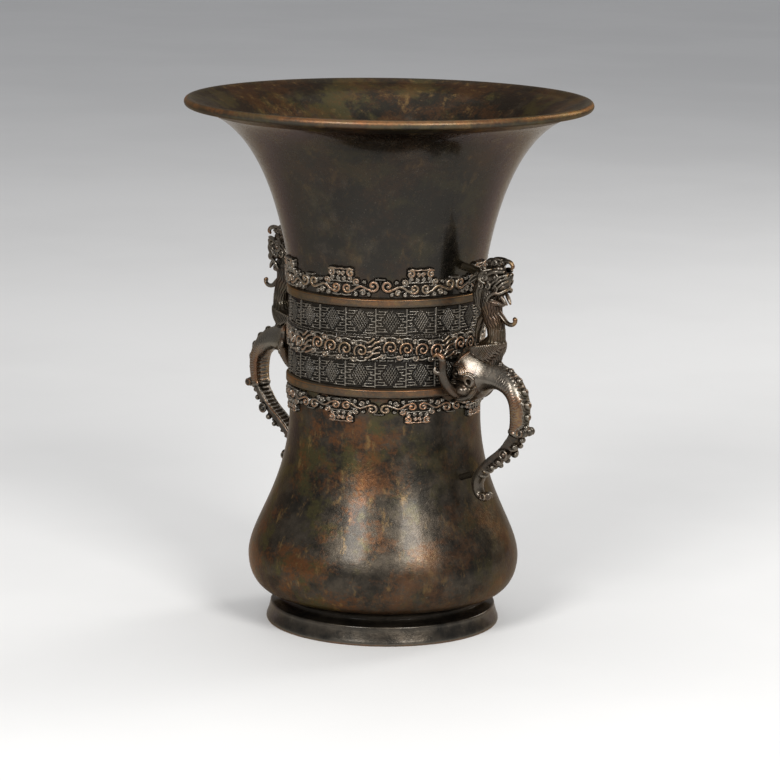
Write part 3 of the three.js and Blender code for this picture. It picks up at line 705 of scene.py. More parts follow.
def fret_strokes(width, height):
    """Key strokes beside the spines at both edges of a unit: rows in pairs that turn back at the lozenge."""
    pitch, half = FRET_PITCH, height / 2
    rows = int(height / pitch)
    start = (height - (rows - 1) * pitch) / 2
    strokes = []
    for side in (1, -1):
        edge = side * width / 2
        strokes.append(np.array([(edge, 0.3), (edge, height - 0.3)]))
        for row in range(0, rows - 1, 2):
            v = start + row * pitch + (0 if side > 0 else pitch / 2)
            above = v + pitch
            room = [width / 2 - LOZENGE_HALF * (1 - abs(w - half) / half) - 1.15 for w in (v, above)]
            turn = edge - side * min(room)
            strokes.append(np.array([(edge, v), (turn, v), (turn, above), (edge - side * pitch, above)]))
            for w, end in ((v, edge - side * room[0]), (above, edge - side * room[1])):
                if abs(end - turn) > 0.7:
                    strokes.append(np.array([(turn - side * 0.7, w), (end, w)]))
    return strokes


def brickwork(u, v, length, course):
    """Distance to the lines of a key-fret ground: broken courses, each end turned up to the next."""
    row = np.floor(v / course)
    along = np.mod(u / length + 0.5 * np.mod(row, 2), 1.0) * length
    flat = np.where(along < 0.8 * length, np.abs(v - (row + 0.5) * course), FAR)
    return np.minimum(flat, np.abs(along - 0.02 * length))


def scrolled(u, v, strokes):
    """How far each place is outside the strokes, and the strokes' half-round height there."""
    away = np.full(u.shape, np.inf)
    lift = np.zeros(u.shape)
    for path, width, tall in strokes:
        gap = distance_to(path, u, v)
        lift = np.maximum(lift, tall * np.sqrt(np.clip(1 - (gap / width)**2.4, 0, 1)))
        away = np.minimum(away, gap - width)
    return away, lift


def unit_grid(width, height, step):
    """Places on one unit of a register: u along the wall from its middle, v up from its foot."""
    columns, rows = int(round(width / step)) + 1, int(round(height / step)) + 1
    across, up = np.linspace(-width / 2, width / 2, columns), np.linspace(0, height, rows)
    return np.meshgrid(across, up, indexing="ij")


def register_ring(name, u, z, ground, raised, wear, units, start, material):
    """A register: the relief of one unit on its ground, with a plain back, set round the axis."""
    columns = len(u)
    radius = np.hstack([ground + raised, np.full((columns, 2), RING_INNER_R)])
    height = np.broadcast_to(np.concatenate([z, [z[-1], z[0]]]), radius.shape)
    wear = np.hstack([wear, np.zeros((columns, 2))])
    unit = sector(name, u[:, 0] / WAIST_R, radius, height, wear)
    return ring_piece(name, unit, units, start, material)


def cloud_frieze(name, low_z, high_z, hanging, sizes, material):
    """Eight cloud heads with their arms, standing up from the fillet or hanging below it."""
    height = high_z - low_z
    u, v = unit_grid(math.tau * WAIST_R / CLOUD_UNITS, height, sizes.step / MM)
    up = (height - v if hanging else v) / (height / CLOUD_HEIGHT)
    away, lift = scrolled(u, up, cloud_head_strokes())
    head = (np.abs(u) < 9.0) & (up < 9.6) | (np.abs(u) < 6.6) & (up < 15.2)
    shown = 1 - ramp(np.where(head, np.minimum(away, 0), away), 0.15, 0.75)
    plate, sunk = sizes.plate / MM, 0.45
    raised = (sunk + plate) * shown - sunk + (sizes.cloud / MM - plate) * lift
    # Painted shade on the ground between the strokes; the pale and copper tops are partly painted highlight
    wear = (1.4 * lift - 0.5) * shown
    z = low_z + v[0]
    return register_ring(name, u, z, wall_radius(z), raised, wear, CLOUD_UNITS, CLOUD_TURN, material)


def middle_frieze(name, low_z, high_z, sizes, material):
    """Rolling cloud scrolls and flames on a key-fret ground."""
    width = math.tau * WAIST_R / CLOUD_UNITS
    u, v = unit_grid(width, high_z - low_z, sizes.step / MM)
    away, lift = scrolled(u, v, middle_strokes(width))
    shown = 1 - ramp(away, 0.1, 0.8)
    fret = 1 - ramp(brickwork(u, v, width / 10, FRET_PITCH), *FRET_FLANK)
    plate = sizes.plate / MM
    raised = (0.02 + plate * shown + (sizes.cloud / MM - plate) * lift
              + sizes.fret / MM * fret * (1 - shown))
    # Painted shade on the ground and in the fret's grooves; the pale and copper tops are partly painted
    # highlight
    wear = (1.35 * lift - 0.45) * shown + (0.85 * fret - 0.42) * (1 - shown)
    return register_ring(name, u, low_z + v[0], WAIST_R, raised, wear, CLOUD_UNITS, CLOUD_TURN, material)


def fret_register(name, low_z, high_z, sizes, material):
    """Twenty latticed lozenges between spines of key-fret."""
    width, height = math.tau * WAIST_R / FRET_UNITS, high_z - low_z
    half = height / 2
    u, v = unit_grid(width, height, sizes.step / MM)
    slope = math.hypot(1 / LOZENGE_HALF, 1 / half)
    inward = (1 - np.abs(u) / LOZENGE_HALF - np.abs(v - half) / half) / slope
    lean = LATTICE_LEAN * (v - half)
    lattice = np.minimum(np.abs(np.sin(math.pi * (u + lean) / LATTICE_PITCH)),
                         np.abs(np.sin(math.pi * (u - lean) / LATTICE_PITCH)))
    lines = np.where(inward > 0.2, 0.72 * lattice, FAR)
    for path in fret_strokes(width, height):
        lines = np.where(inward < -0.2, np.minimum(lines, distance_to(path, u, v)), lines)
    lift = 1 - ramp(lines, *FRET_FLANK)
    # Painted shade in the grooves; the ridges turn pale, partly as painted highlight
    wear = (0.5 - 0.08 * ramp(inward, 0.0, 0.4)) * lift - 0.42 * (1 - lift)
    raised = sizes.fret / MM * lift
    half_unit = math.pi / FRET_UNITS
    return register_ring(name, u, low_z + v[0], WAIST_R, raised, wear, FRET_UNITS, half_unit, material)


# Handles, modelled in clay: places are (out from the relief, to the side, up from the beast's seat) in mm


def flipped(points, side):
    """Places of the clay on one side of the handle, 1 as written or -1 across its middle."""
    return np.array(points, float) * [1, side, 1]


def soft_min(first, second, blend):
    """Union of two lumps with a soft fillet."""
    h = np.clip(0.5 + 0.5 * (second - first) / blend, 0, 1)
    return second + (first - second) * h - blend * h * (1 - h)


class Clay:
    """A box of clay as distances from its surface, less than zero inside."""

    def __init__(self, low, high, grain):
        axes = [np.arange(a, b + grain, grain, dtype=np.float32) for a, b in zip(low, high)]
        self.grain = grain
        self.low = np.array([axis[0] for axis in axes])
        self.o, self.y, self.u = np.ix_(*axes)
        self.f = np.full([len(axis) for axis in axes], FAR, np.float32)
        self.rub = np.zeros(self.f.shape, np.float32)
        self.whole = None

    def near(self, low, high):
        """The part of the box that holds some work, and its places."""
        cut = []
        for axis, a, b in zip((self.o, self.y, self.u), low, high):
            line = axis.ravel()
            cut.append(slice(max(int(np.searchsorted(line, a)) - 1, 0), int(np.searchsorted(line, b)) + 1))
        return tuple(cut), self.o[cut[0]], self.y[:, cut[1]], self.u[:, :, cut[2]]

    def work(self, cut, form, blend, take):
        """Joins a form to the clay in a part of the box, or takes it away."""
        held = self.f[cut]
        self.f[cut] = -soft_min(-held, form, blend) if take else soft_min(held, form, blend)

    def pare(self, form, blend):
        """Takes off the clay where a form is below zero, over a soft edge."""
        self.work((slice(None),) * 3, form, blend, True)

    def swell(self, amount):
        """Raises the surface by an amount that may change from place to place."""
        self.f -= np.asarray(amount, np.float32)

    def polish_and_highlight(self, amount):
        """Adds to the wear that hands have left; where it only turns the bronze pale, it is a painted
        highlight.
        """
        self.rub += np.asarray(amount, np.float32)

    def lump(self, centre, halves, blend=1.5, take=False, both=False):
        """An egg of clay put on, or pressed out."""
        for side in (1, -1) if both else (1,):
            c = flipped(centre, side)
            h = np.array(halves, float)
            cut, o, y, u = self.near(c - h - 5, c + h + 5)
            q = np.sqrt(((o - c[0]) / h[0])**2 + ((y - c[1]) / h[1])**2 + ((u - c[2]) / h[2])**2)
            self.work(cut, (q - 1) * h.min(), blend, take)

    def strand(self, points, radii, blend=0.5, take=False, both=True, steps=6):
        """A tapered rope of clay through places, on both sides of the handle."""
        radii = np.broadcast_to(radii, len(points)) if np.isscalar(radii) else np.asarray(radii)
        for side in (1, -1) if both else (1,):
            path = smooth_path(np.column_stack([flipped(points, side), radii]), steps)
            margin = path[:, 3].max() + 3
            cut, o, y, u = self.near(path[:, :3].min(0) - margin, path[:, :3].max(0) + margin)
            best = np.full(self.f[cut].shape, FAR, np.float32)
            for p, q in zip(path, path[1:]):
                d = q[:3] - p[:3]
                along = (o - p[0]) * d[0] + (y - p[1]) * d[1] + (u - p[2]) * d[2]
                t = np.clip(along / max(d @ d, 1e-9), 0, 1)
                away = np.sqrt((o - p[0] - t * d[0])**2 + (y - p[1] - t * d[1])**2 + (u - p[2] - t * d[2])**2)
                best = np.minimum(best, away - (p[3] + t * (q[3] - p[3])))
            self.work(cut, best, blend, take)

    def curl(self, centre, size, turns, start, way, side, thick, blend=0.35):
        """A spiral rope on both flanks."""
        path = scroll(centre, size, turns, start, way)[::2]
        points = np.column_stack([path[:, 0], np.full(len(path), side), path[:, 1]])
        self.strand(points, np.linspace(thick, thick * 0.7, len(points)), blend, steps=2)

    def ring(self, centre, size, thick, blend=0.3):
        """A ring lying on each flank."""
        for side in (1, -1):
            c = flipped(centre, side)
            room = np.array([size + thick + 2, thick + 3, size + thick + 2])
            cut, o, y, u = self.near(c - room, c + room)
            form = np.sqrt((np.hypot(o - c[0], u - c[2]) - size)**2 + (y - c[1])**2) - thick
            self.work(cut, form, blend, False)

    def line(self, points, width, rise, least):
        """A raised or, with a negative rise, scored line on both flanks beyond a distance from the middle."""
        away = distance_to(smooth_path(points), *np.broadcast_arrays(self.o[:, :, 0], self.u[:, 0, :]))
        shape = np.clip(1 - (away / width)**2, 0, 1)[:, None, :]
        self.f -= rise * shape * ramp(np.abs(self.y), least, least + 1.5)

    def walk(self, spine):
        """For each place, its nearest point on a spine in the handle's plane: how far along, how far
        out on the left of the way, how far past an end, and the half width and half depth there."""
        o, u = np.broadcast_arrays(self.o[:, :, 0], self.u[:, 0, :])
        path = smooth_path(spine)
        best = np.full(o.shape, np.inf)
        found = {key: np.zeros(o.shape) for key in "sneab"}
        run = 0.0
        for p, q in zip(path, path[1:]):
            d = q[:2] - p[:2]
            length = float(np.hypot(*d))
            t = np.clip(((o - p[0]) * d[0] + (u - p[1]) * d[1]) / length**2, 0, 1)
            do, du = o - p[0] - t * d[0], u - p[1] - t * d[1]
            far = do * do + du * du
            closer = far < best
            best = np.where(closer, far, best)
            here = {"s": run + t * length, "n": (d[0] * du - d[1] * do) / length,
                    "e": (d[0] * do + d[1] * du) / length, "a": p[2] + t * (q[2] - p[2]),
                    "b": p[3] + t * (q[3] - p[3])}
            found = {key: np.where(closer, here[key], found[key]) for key in found}
            run += length
        return {key: value[:, None, :].astype(np.float32) for key, value in found.items()}

    def limb(self, spine, blend=0.8, hair=0.0, locks=9, wave=0.3):
        """A limb along a spine, smooth or covered with wavy hair; gives back its walk."""
        w = self.walk(spine)
        size = np.minimum(w["a"], w["b"])
        form = (np.sqrt((w["n"]**2 + w["e"]**2) / w["b"]**2 + self.y**2 / w["a"]**2) - 1) * size
        if hair:
            angle = np.arctan2(self.y / w["a"], w["n"] / w["b"])
            sway = 0.9 * np.sin(wave * w["s"] + 1.7 * np.cos(angle)) + 0.5 * np.sin(2.3 * wave * w["s"])
            furrow = 0.6 * np.abs(np.sin(locks * angle / 2 + sway)) + 0.4 * np.abs(
                np.sin(locks * angle * 1.5 + 2.0 * sway))
            form = form - hair * (furrow - 0.45) * np.clip(size / 3, 0.4, 1)
        self.f = soft_min(self.f, form, blend).astype(np.float32)
        return w

    def trim(self, field):
        """Cuts the clay off where a field is above zero, without a worn edge along the cut."""
        if self.whole is None:
            self.whole = self.f
        self.f = np.maximum(self.f, field).astype(np.float32)

    def skin(self):
        """The clay's surface as points, four-cornered faces and wear, which also paints highlight and shade:
        one point in each mixed cell.
        """
        f = self.f
        for axis in range(3):
            for end in (0, -1):
                face = [slice(None)] * 3
                face[axis] = end
                f[tuple(face)] = np.maximum(f[tuple(face)], 0.05)
        inside = f < 0
        corners = [(i, j, k) for i in (0, 1) for j in (0, 1) for k in (0, 1)]
        nx, ny, nz = (n - 1 for n in f.shape)
        count = sum(inside[i:nx + i, j:ny + j, k:nz + k].astype(np.int8) for i, j, k in corners)
        mixed = (count > 0) & (count < 8)
        cells = np.argwhere(mixed)
        number = np.full(mixed.shape, -1, np.int64)
        number[mixed] = np.arange(len(cells))
        value = [f[cells[:, 0] + i, cells[:, 1] + j, cells[:, 2] + k] for i, j, k in corners]
        total, hits = np.zeros((len(cells), 3)), np.zeros(len(cells))
        for a, first in enumerate(corners):
            for b, second in enumerate(corners):
                if b > a and sum(p != q for p, q in zip(first, second)) == 1:
                    cross = (value[a] < 0) != (value[b] < 0)
                    t = np.where(cross, value[a] / np.where(cross, value[a] - value[b], 1), 0)
                    total += cross[:, None] * (np.array(first) + t[:, None] * (np.array(second) - first))
                    hits += cross
        points = self.low + (cells + total / hits[:, None]) * self.grain
        faces = []
        for axis in range(3):
            low_side, high_side = [slice(None)] * 3, [slice(None)] * 3
            low_side[axis], high_side[axis] = slice(None, -1), slice(1, None)
            first = inside[tuple(low_side)]
            edges = np.argwhere(first != inside[tuple(high_side)])
            left, right = np.eye(3, dtype=int)[[(axis + 1) % 3, (axis + 2) % 3]]
            steps = (left + right, right, 0 * left, left)
            quad = np.stack([number[tuple((edges - step).T)] for step in steps], 1)
            out = first[tuple(edges.T)]
            faces.append(np.where(out[:, None], quad, quad[:, ::-1]))
        # Wear from the bend of the surface: convex places rise and turn pale, hollows fall and turn dark,
        # which paints highlight and shade as well as rubbing and grime
        wear = np.zeros(len(cells))
        form = f if self.whole is None else self.whole
        for span, share in ((2, 0.55), (5, 0.45)):
            bulge = -6.0 * form[tuple(cells.T)]
            for axis in range(3):
                for way in (span, -span):
                    there = cells.copy()
                    there[:, axis] = np.clip(there[:, axis] + way, 0, f.shape[axis] - 1)
                    bulge = bulge + form[tuple(there.T)]
            wear += share * bulge / (span * self.grain)
        return points, np.vstack(faces), np.clip(0.55 * wear - 0.25, -1, 1) + self.rub[tuple(cells.T)]


def without_crumbs(points, quads, wear):
    """Only the form that hangs together, without the crumbs and pinholes beside it."""
    group = np.arange(len(points))
    settled = False
    while not settled:
        joined = group.copy()
        np.minimum.at(joined, quads, group[quads].min(1, keepdims=True))
        joined = joined[joined]
        settled = np.array_equal(joined, group)
        group = joined
    kept = group == np.bincount(group).argmax()
    number = np.cumsum(kept) - 1
    return points[kept], number[quads[kept[quads[:, 0]]]], wear[kept]


def sculpted(name, clay, slot, material):
    """A modelled casting on the right handle, and its half turn on the left one, in place of their nodes."""
    points, quads, wear = without_crumbs(*clay.skin())
    for hand, turn in (("right", 1), ("left", -1)):
        spot = np.column_stack([turn * (RELIEF_R + points[:, 0]), turn * points[:, 1], SEAT_Z + points[:, 2]])
        piece = place(f"{hand}_{name}_casting", mesh_of(f"{hand}_{name}", spot, quads, wear))
        piece.data.materials.append(material)
        piece.data.shade_smooth()
        seat(piece, slot, f"{hand}_{name}")


# Stations of the arch: out, up, half width, half depth
ARCH = [
    (16, -0.5, 8.4, 8.6), (23, 0.4, 8.8, 8), (30.6, 0, 8.2, 7), (38.3, -4, 7.2, 6), (43.2, -11, 6.6, 5.3),
    (44.4, -19, 6.2, 4.9), (43.2, -28, 5.7, 4.5), (38.8, -36, 5.3, 4), (32.6, -42.5, 5, 3.6),
    (25.6, -48, 4.7, 3.3), (19, -54, 4.4, 3.1), (15, -60.5, 4, 2.8), (15.6, -67, 3.6, 2.5),
    (19.6, -69.5, 3.2, 2.2), (22.6, -67.4, 2.4, 1.9),
]

# Stations of the dragon's neck and of its free lock, given alike
NECK = [
    (24.3, 4, 3.4, 3.4), (25, 10, 4.2, 4.2), (26, 17, 4.8, 4.8), (26.3, 22, 4.8, 4.9), (25.6, 27, 5, 5.1),
    (24.3, 31, 5.2, 5.5), (22.8, 35.4, 5.4, 5.8), (21.4, 42, 6, 6.4), (20.6, 49, 5, 5),
]
LOCK = [(20, 37, 2.4, 2.2), (15.6, 31.4, 2.3, 2.1), (13, 24.8, 2.1, 1.8), (12.2, 18.2, 1.4, 1.2)]

# The dragons are modelled finer than the beasts, by this share of the grain
DRAGON_GRAIN = 0.85

# The beast's head meets the arch this far out, and both run past the joint by a little
HEAD_JOINT = 19.0
JOINT_LAP = 0.5

# Knobs of the arch: how far along it, and size
KNOBS = [(12.5, 0.8), (18.5, 0.9), (24, 1.0), (29.4, 1.12), (35, 1.15), (40.6, 1.05), (46, 0.95)]


def knob_places():
    """Each knob's foot on the arch's outer edge, its direction and its size."""
    crest = smooth_path(ARCH, 12)
    run = np.concatenate([[0], np.cumsum(np.hypot(*np.diff(crest[:, :2], axis=0).T))])
    places = []
    stride = 0.5
    for along, size in KNOBS:
        at = np.array([np.interp(along, run, crest[:, k]) for k in range(4)])
        ahead = np.array([np.interp(along + stride, run, crest[:, k]) for k in range(2)])
        out = np.array([at[1] - ahead[1], ahead[0] - at[0]]) / stride
        places.append((at[:2] + out * at[3], out, size))
    return places


def beast_form(clay):
    """The beast's head and the root of its body, one soft form that both castings share."""
    walk = clay.limb(ARCH, 0.5)
    clay.lump((12, 0, 1), (12.5, 12.5, 13), 3)
    clay.lump((8, 0, 8), (8, 9.5, 6.5), 3)
    clay.lump((8, 0, -8), (10.5, 10.5, 8), 3)
    out = np.minimum(clay.o, 38) - 12
    bend = out - np.maximum(out, 0)**2 / 60
    brow = 0.45 * bend + 0.80 * np.abs(clay.y) + 0.39 * (clay.u - 1)
    clay.pare(11.1 - brow, 1.8)
    return walk


def arch_clay(grain):
    """The arched body: scaled and frilled sleeve, cuff, smooth lower leg with bosses, and a curled tail."""
    clay = Clay((12, -12, -74), (56, 12, 13), grain)
    walk = beast_form(clay)
    s, n, a, b = (walk[key] for key in "snab")
    across, depth = np.abs(clay.y) / a, n / b
    middle = ramp(s, 26, 38) * (1 - ramp(s, 88, 97))
    channel = middle * ramp(-depth, 0.15, 0.85) * np.exp(-(clay.y / (0.52 * a))**2)
    clay.swell(0.4 * channel * np.cos(math.tau * s / 2.7) - 1.5 * channel)
    clay.swell(0.6 * middle * (bell(across, 0.86, 0.14) * bell(depth, -0.5, 0.28)))
    sleeve = ramp(s, 13, 20) * (1 - ramp(s, 48.5, 50))
    frill = np.abs(np.sin(math.pi * s / 1.85 + 0.5 * np.sin(1.3 * clay.y))) - 0.5
    clay.swell(0.5 * sleeve * ramp(depth, 0.78, 0.95) * frill)
    scales = np.cos(math.tau * s / 1.5 + 1.2 * np.sin(2.2 * n + 0.4 * s)) * (1 - ramp(depth, 0.3, 0.6))
    clay.swell(0.08 * sleeve * scales)
    for spot, out, size in knob_places():
        foot = spot - 1.5 * out
        clay.lump((foot[0], 0, foot[1]), (2.5 * size, 2.7 * size, 2.5 * size), 0.8)
    cuff = 50
    clay.swell(0.5 * bell(s, cuff, 1.0))
    clay.swell(-0.6 * ramp(s, cuff + 1, cuff + 2) * (1 - ramp(s, 62, 78)))
    keel = bell(depth, -0.72, 0.2) * ramp(across, 0.4, 0.7)
    clay.swell(0.5 * ramp(s, 53, 58) * (1 - ramp(s, 92, 100)) * keel)
    lobes = np.clip(np.cos(math.tau * s / 4.6), 0, 1)
    clay.swell(0.9 * ramp(s, 55, 58) * (1 - ramp(s, 86, 90)) * ramp(depth, 0.35, 0.9) * lobes)
    clay.lump((48.2, 2.9, -28.0), (2.7, 2.7, 2.7), 0.6, both=True)
    clay.ring((48.2, 5.4, -28.0), 1.7, 0.6)
    clay.lump((47.6, 0, -28.6), (2.4, 2.6, 2.4), 0.5)
    clay.lump((46.2, 0, -32.8), (1.7, 2.2, 1.7), 0.5)
    clay.lump((42.8, 2.6, -36.8), (1.6, 1.7, 1.6), 0.5, both=True)
    clay.lump((36.6, 4.4, -41.9), (1.7, 1.6, 1.7), 0.4, both=True)
    clay.ring((36.6, 4.9, -41.9), 2.4, 0.65)
    for spot, halves in (((38.8, 3.2, -42.4), (1.5, 1.7, 1.5)), ((32.4, 4.0, -46.8), (1.9, 1.7, 1.7)),
                         ((28.0, 3.8, -50.4), (1.6, 1.5, 1.5))):
        clay.lump(spot, halves, 0.5, both=True)
    clay.lump((20.9, 0, -68.4), (2.5, 3.6, 2.5), 0.6)
    clay.ring((20.9, 3.3, -68.4), 1.6, 0.6)
    flank = ramp(s - 7 * depth, 20, 32)
    # Copper rub on the inner flank, at the cuff and at the tail's end; the pale wear over the shoulder is a
    # painted highlight
    clay.polish_and_highlight(1.05 * flank * (1 - ramp(s, 48, 51)) * (1 - ramp(depth, 0.78, 1.0))
                + 0.66 * (1 - flank) + 0.3 * bell(s, cuff, 2.5) + 0.35 * ramp(s, 112, 118))
    clay.trim(np.where(clay.u > -30, HEAD_JOINT - JOINT_LAP - clay.o, -FAR))
    return clay


def beast_clay(grain):
    """The beast's head: ringed eye under folded lids, rolled lip, muzzle, mouth swirl and smooth brow."""
    clay = Clay((-3, -16, -20), (20.5, 16, 18), grain)
    beast_form(clay)
    clay.pare(0.785 * (clay.o - 0.9 * (np.abs(clay.y) - 9) - 10.4) - 0.62 * (clay.u - 13.1) + 0.4, 1.2)
    clay.lump((10.4, 9.8, -8.4), (4.4, 4.0, 3.4), 1.0, both=True)
    clay.lump((4.2, 9.6, -4.6), (2.6, 2.4, 2.2), 1.2, both=True)
    lip = [(-0.4, 8.8, -8.0), (2.4, 9.2, -11.2), (7.6, 8.6, -13.6), (13.0, 7.8, -12.0), (17.0, 8.0, -8.0),
           (19.6, 8.6, -4.6)]
    clay.strand(lip, [1.6, 1.8, 1.8, 1.8, 1.6, 1.2], 0.6)
    fold = [(1.6, 10.6, -8.4), (4.6, 10.4, -10.8), (8.6, 10.0, -11.8), (12.6, 9.4, -10.4), (15.4, 9.8, -7.4)]
    clay.strand(fold, 0.6, 0.25)
    swirl_o, swirl_u = 15.6, -2.8
    clay.lump((swirl_o, 11.2, swirl_u), (1.4, 2.4, 1.4), 0.5, take=True, both=True)
    clay.ring((swirl_o, 10.7, swirl_u), 2.3, 0.65)
    for size in (3.5, 4.7):
        clay.line(arc((swirl_o, swirl_u), size, -70, 130, 9), 0.6, 0.5, 4.0)
    eye_o, eye_u = 7.0, 0.6
    for k, rise in enumerate((0.8, 0.75, 0.65, 0.55)):
        size = 3.0 + 1.15 * k
        t = np.radians(np.linspace(5, 200, 9))
        lid = np.stack([eye_o + 1.15 * size * np.cos(t), eye_u + size * np.sin(t)], 1)
        clay.line(lid, 0.55, rise, 4.0)
    clay.lump((eye_o, 11.0, eye_u), (2.0, 1.7, 1.5), 0.3, both=True)
    clay.ring((eye_o, 11.3, eye_u), 2.3, 0.5)
    clay.polish_and_highlight(-0.8 * np.exp(-((clay.o - eye_o)**2 + (clay.u - 1.5)**2) / 16))
    clay.line([(13.4, 14.6), (11.2, 12.0), (8.0, 8.0), (4.0, 3.2)], 0.8, 0.5, 4.0)
    clay.line([(0.4, -2.6), (3.4, -4.0), (8.0, -3.8), (12.4, -3.8)], 0.9, -0.9, 6.0)
    # Painted highlight: the brow and the top of the head are paled by raised wear
    clay.polish_and_highlight(0.16 + 0.5 * ramp(clay.u, -1, 6))
    wall = np.hypot(RELIEF_R + clay.o, clay.y) - (FILLET_R - 0.6)
    clay.trim(np.maximum(clay.o - HEAD_JOINT - JOINT_LAP, -wall))
    return clay


def tusk_clay(way, grain):
    """One raised tusk beside the wall: lines along it, a hooked copper tip and a curled prong."""
    spine = flipped([(8, 6, -11), (6.4, 12.0, -10.2), (5.4, 17.2, -5.2), (4.8, 20.2, 0.8), (4.8, 20.4, 6.4),
                     (4.2, 20.8, 10.4), (2.5, 22.4, 12.3), (1.0, 23.8, 11.3)], way)
    sizes = np.array([3.0, 3.0, 2.9, 2.7, 2.3, 1.8, 1.4, 0.8])
    clay = Clay(spine.min(0) - 4.5, spine.max(0) + 4.5, grain)
    clay.strand(spine, sizes, both=False)
    for lift in (0.35, 0.9, 1.45):
        turn = lift * 1.2
        side = np.column_stack([sizes * math.cos(turn), way * 0.15 * sizes, sizes * math.sin(turn) * 0.9])
        clay.strand(spine[1:-2] + side[1:-2] * 0.96, 0.45, 0.2, both=False)
    prong = [(4.6, 21.0, 1.8), (3.6, 22.8, 2.0), (2.4, 24.2, 3.2), (2.6, 24.0, 5.2)]
    clay.strand(flipped(prong, way), [1.7, 1.4, 1.2, 0.7], 0.5, both=False)
    clay.polish_and_highlight(0.95 * ramp(clay.u, 8.0, 10.5))
    return clay


def collar_clay(grain):
    """The cape of hair at the dragon's foot: a leaf towards the wall, combed down to a ragged fringe."""
    clay = Clay((3, -11, 4), (36, 11, 27), grain)
    o, y, u = clay.o, clay.y, clay.u
    flare = np.interp(u, (6.0, 12.0, 17.0), (0.8, 0.92, 1.0))
    across = 8.7 * flare * (1 - 0.4 * ramp(19.0 - o, 4.0, 14.0))
    x, z = (o - 18.3) / (12.9 * flare), y / across
    combed = math.pi * (o + 0.9 * u + 0.6 * np.sin(0.6 * u + 0.8 * y)) / 1.3
    body = (np.sqrt(x * x + z * z) - 1) * across - 0.45 * (np.abs(np.sin(combed)) - 0.5)
    hem = np.interp(o, (5.0, 11.0, 17.0, 22.0, 26.0, 29.0, 32.0), (12.2, 11.2, 9.8, 8.6, 10.4, 13.6, 18.0))
    fringe = hem + 1.3 * np.abs(np.sin(combed / 2)) + 0.5 * np.abs(np.sin(combed / 3 + 1))
    top = np.interp(o, (5.0, 12.0, 18.0, 24.0, 34.0), (13.6, 15.6, 17.4, 18.6, 19.2))
    clay.f = np.maximum(np.maximum(body, 0.8 * (u - top)), 0.75 * (fringe - u)).astype(np.float32)
    root = [(26.4, 26, 4.6, 4.7), (26.0, 21.5, 5.2, 5.2), (24.2, 17, 6.6, 6.8), (22.0, 14, 7.0, 7.6)]
    clay.limb(root, 2.2, 0.45, locks=17, wave=0.35)
    return clay


def neck_clay(grain, hair):
    """The dragon's neck under long combed hair, with a free lock on the wall's side."""
    clay = Clay((9, -9, 3), (34, 9, 52), grain)
    clay.limb(LOCK, 0.4, hair, locks=8, wave=0.5)
    clay.limb(NECK, 0.6, 0.8 * hair, locks=21, wave=0.6)
    throat = bell(clay.u, 24, 3.5) * ramp(np.abs(clay.y), 2.0, 4.0) * bell(clay.o, 27, 2.5)
    clay.polish_and_highlight(0.45 * throat - 0.14)
    return clay


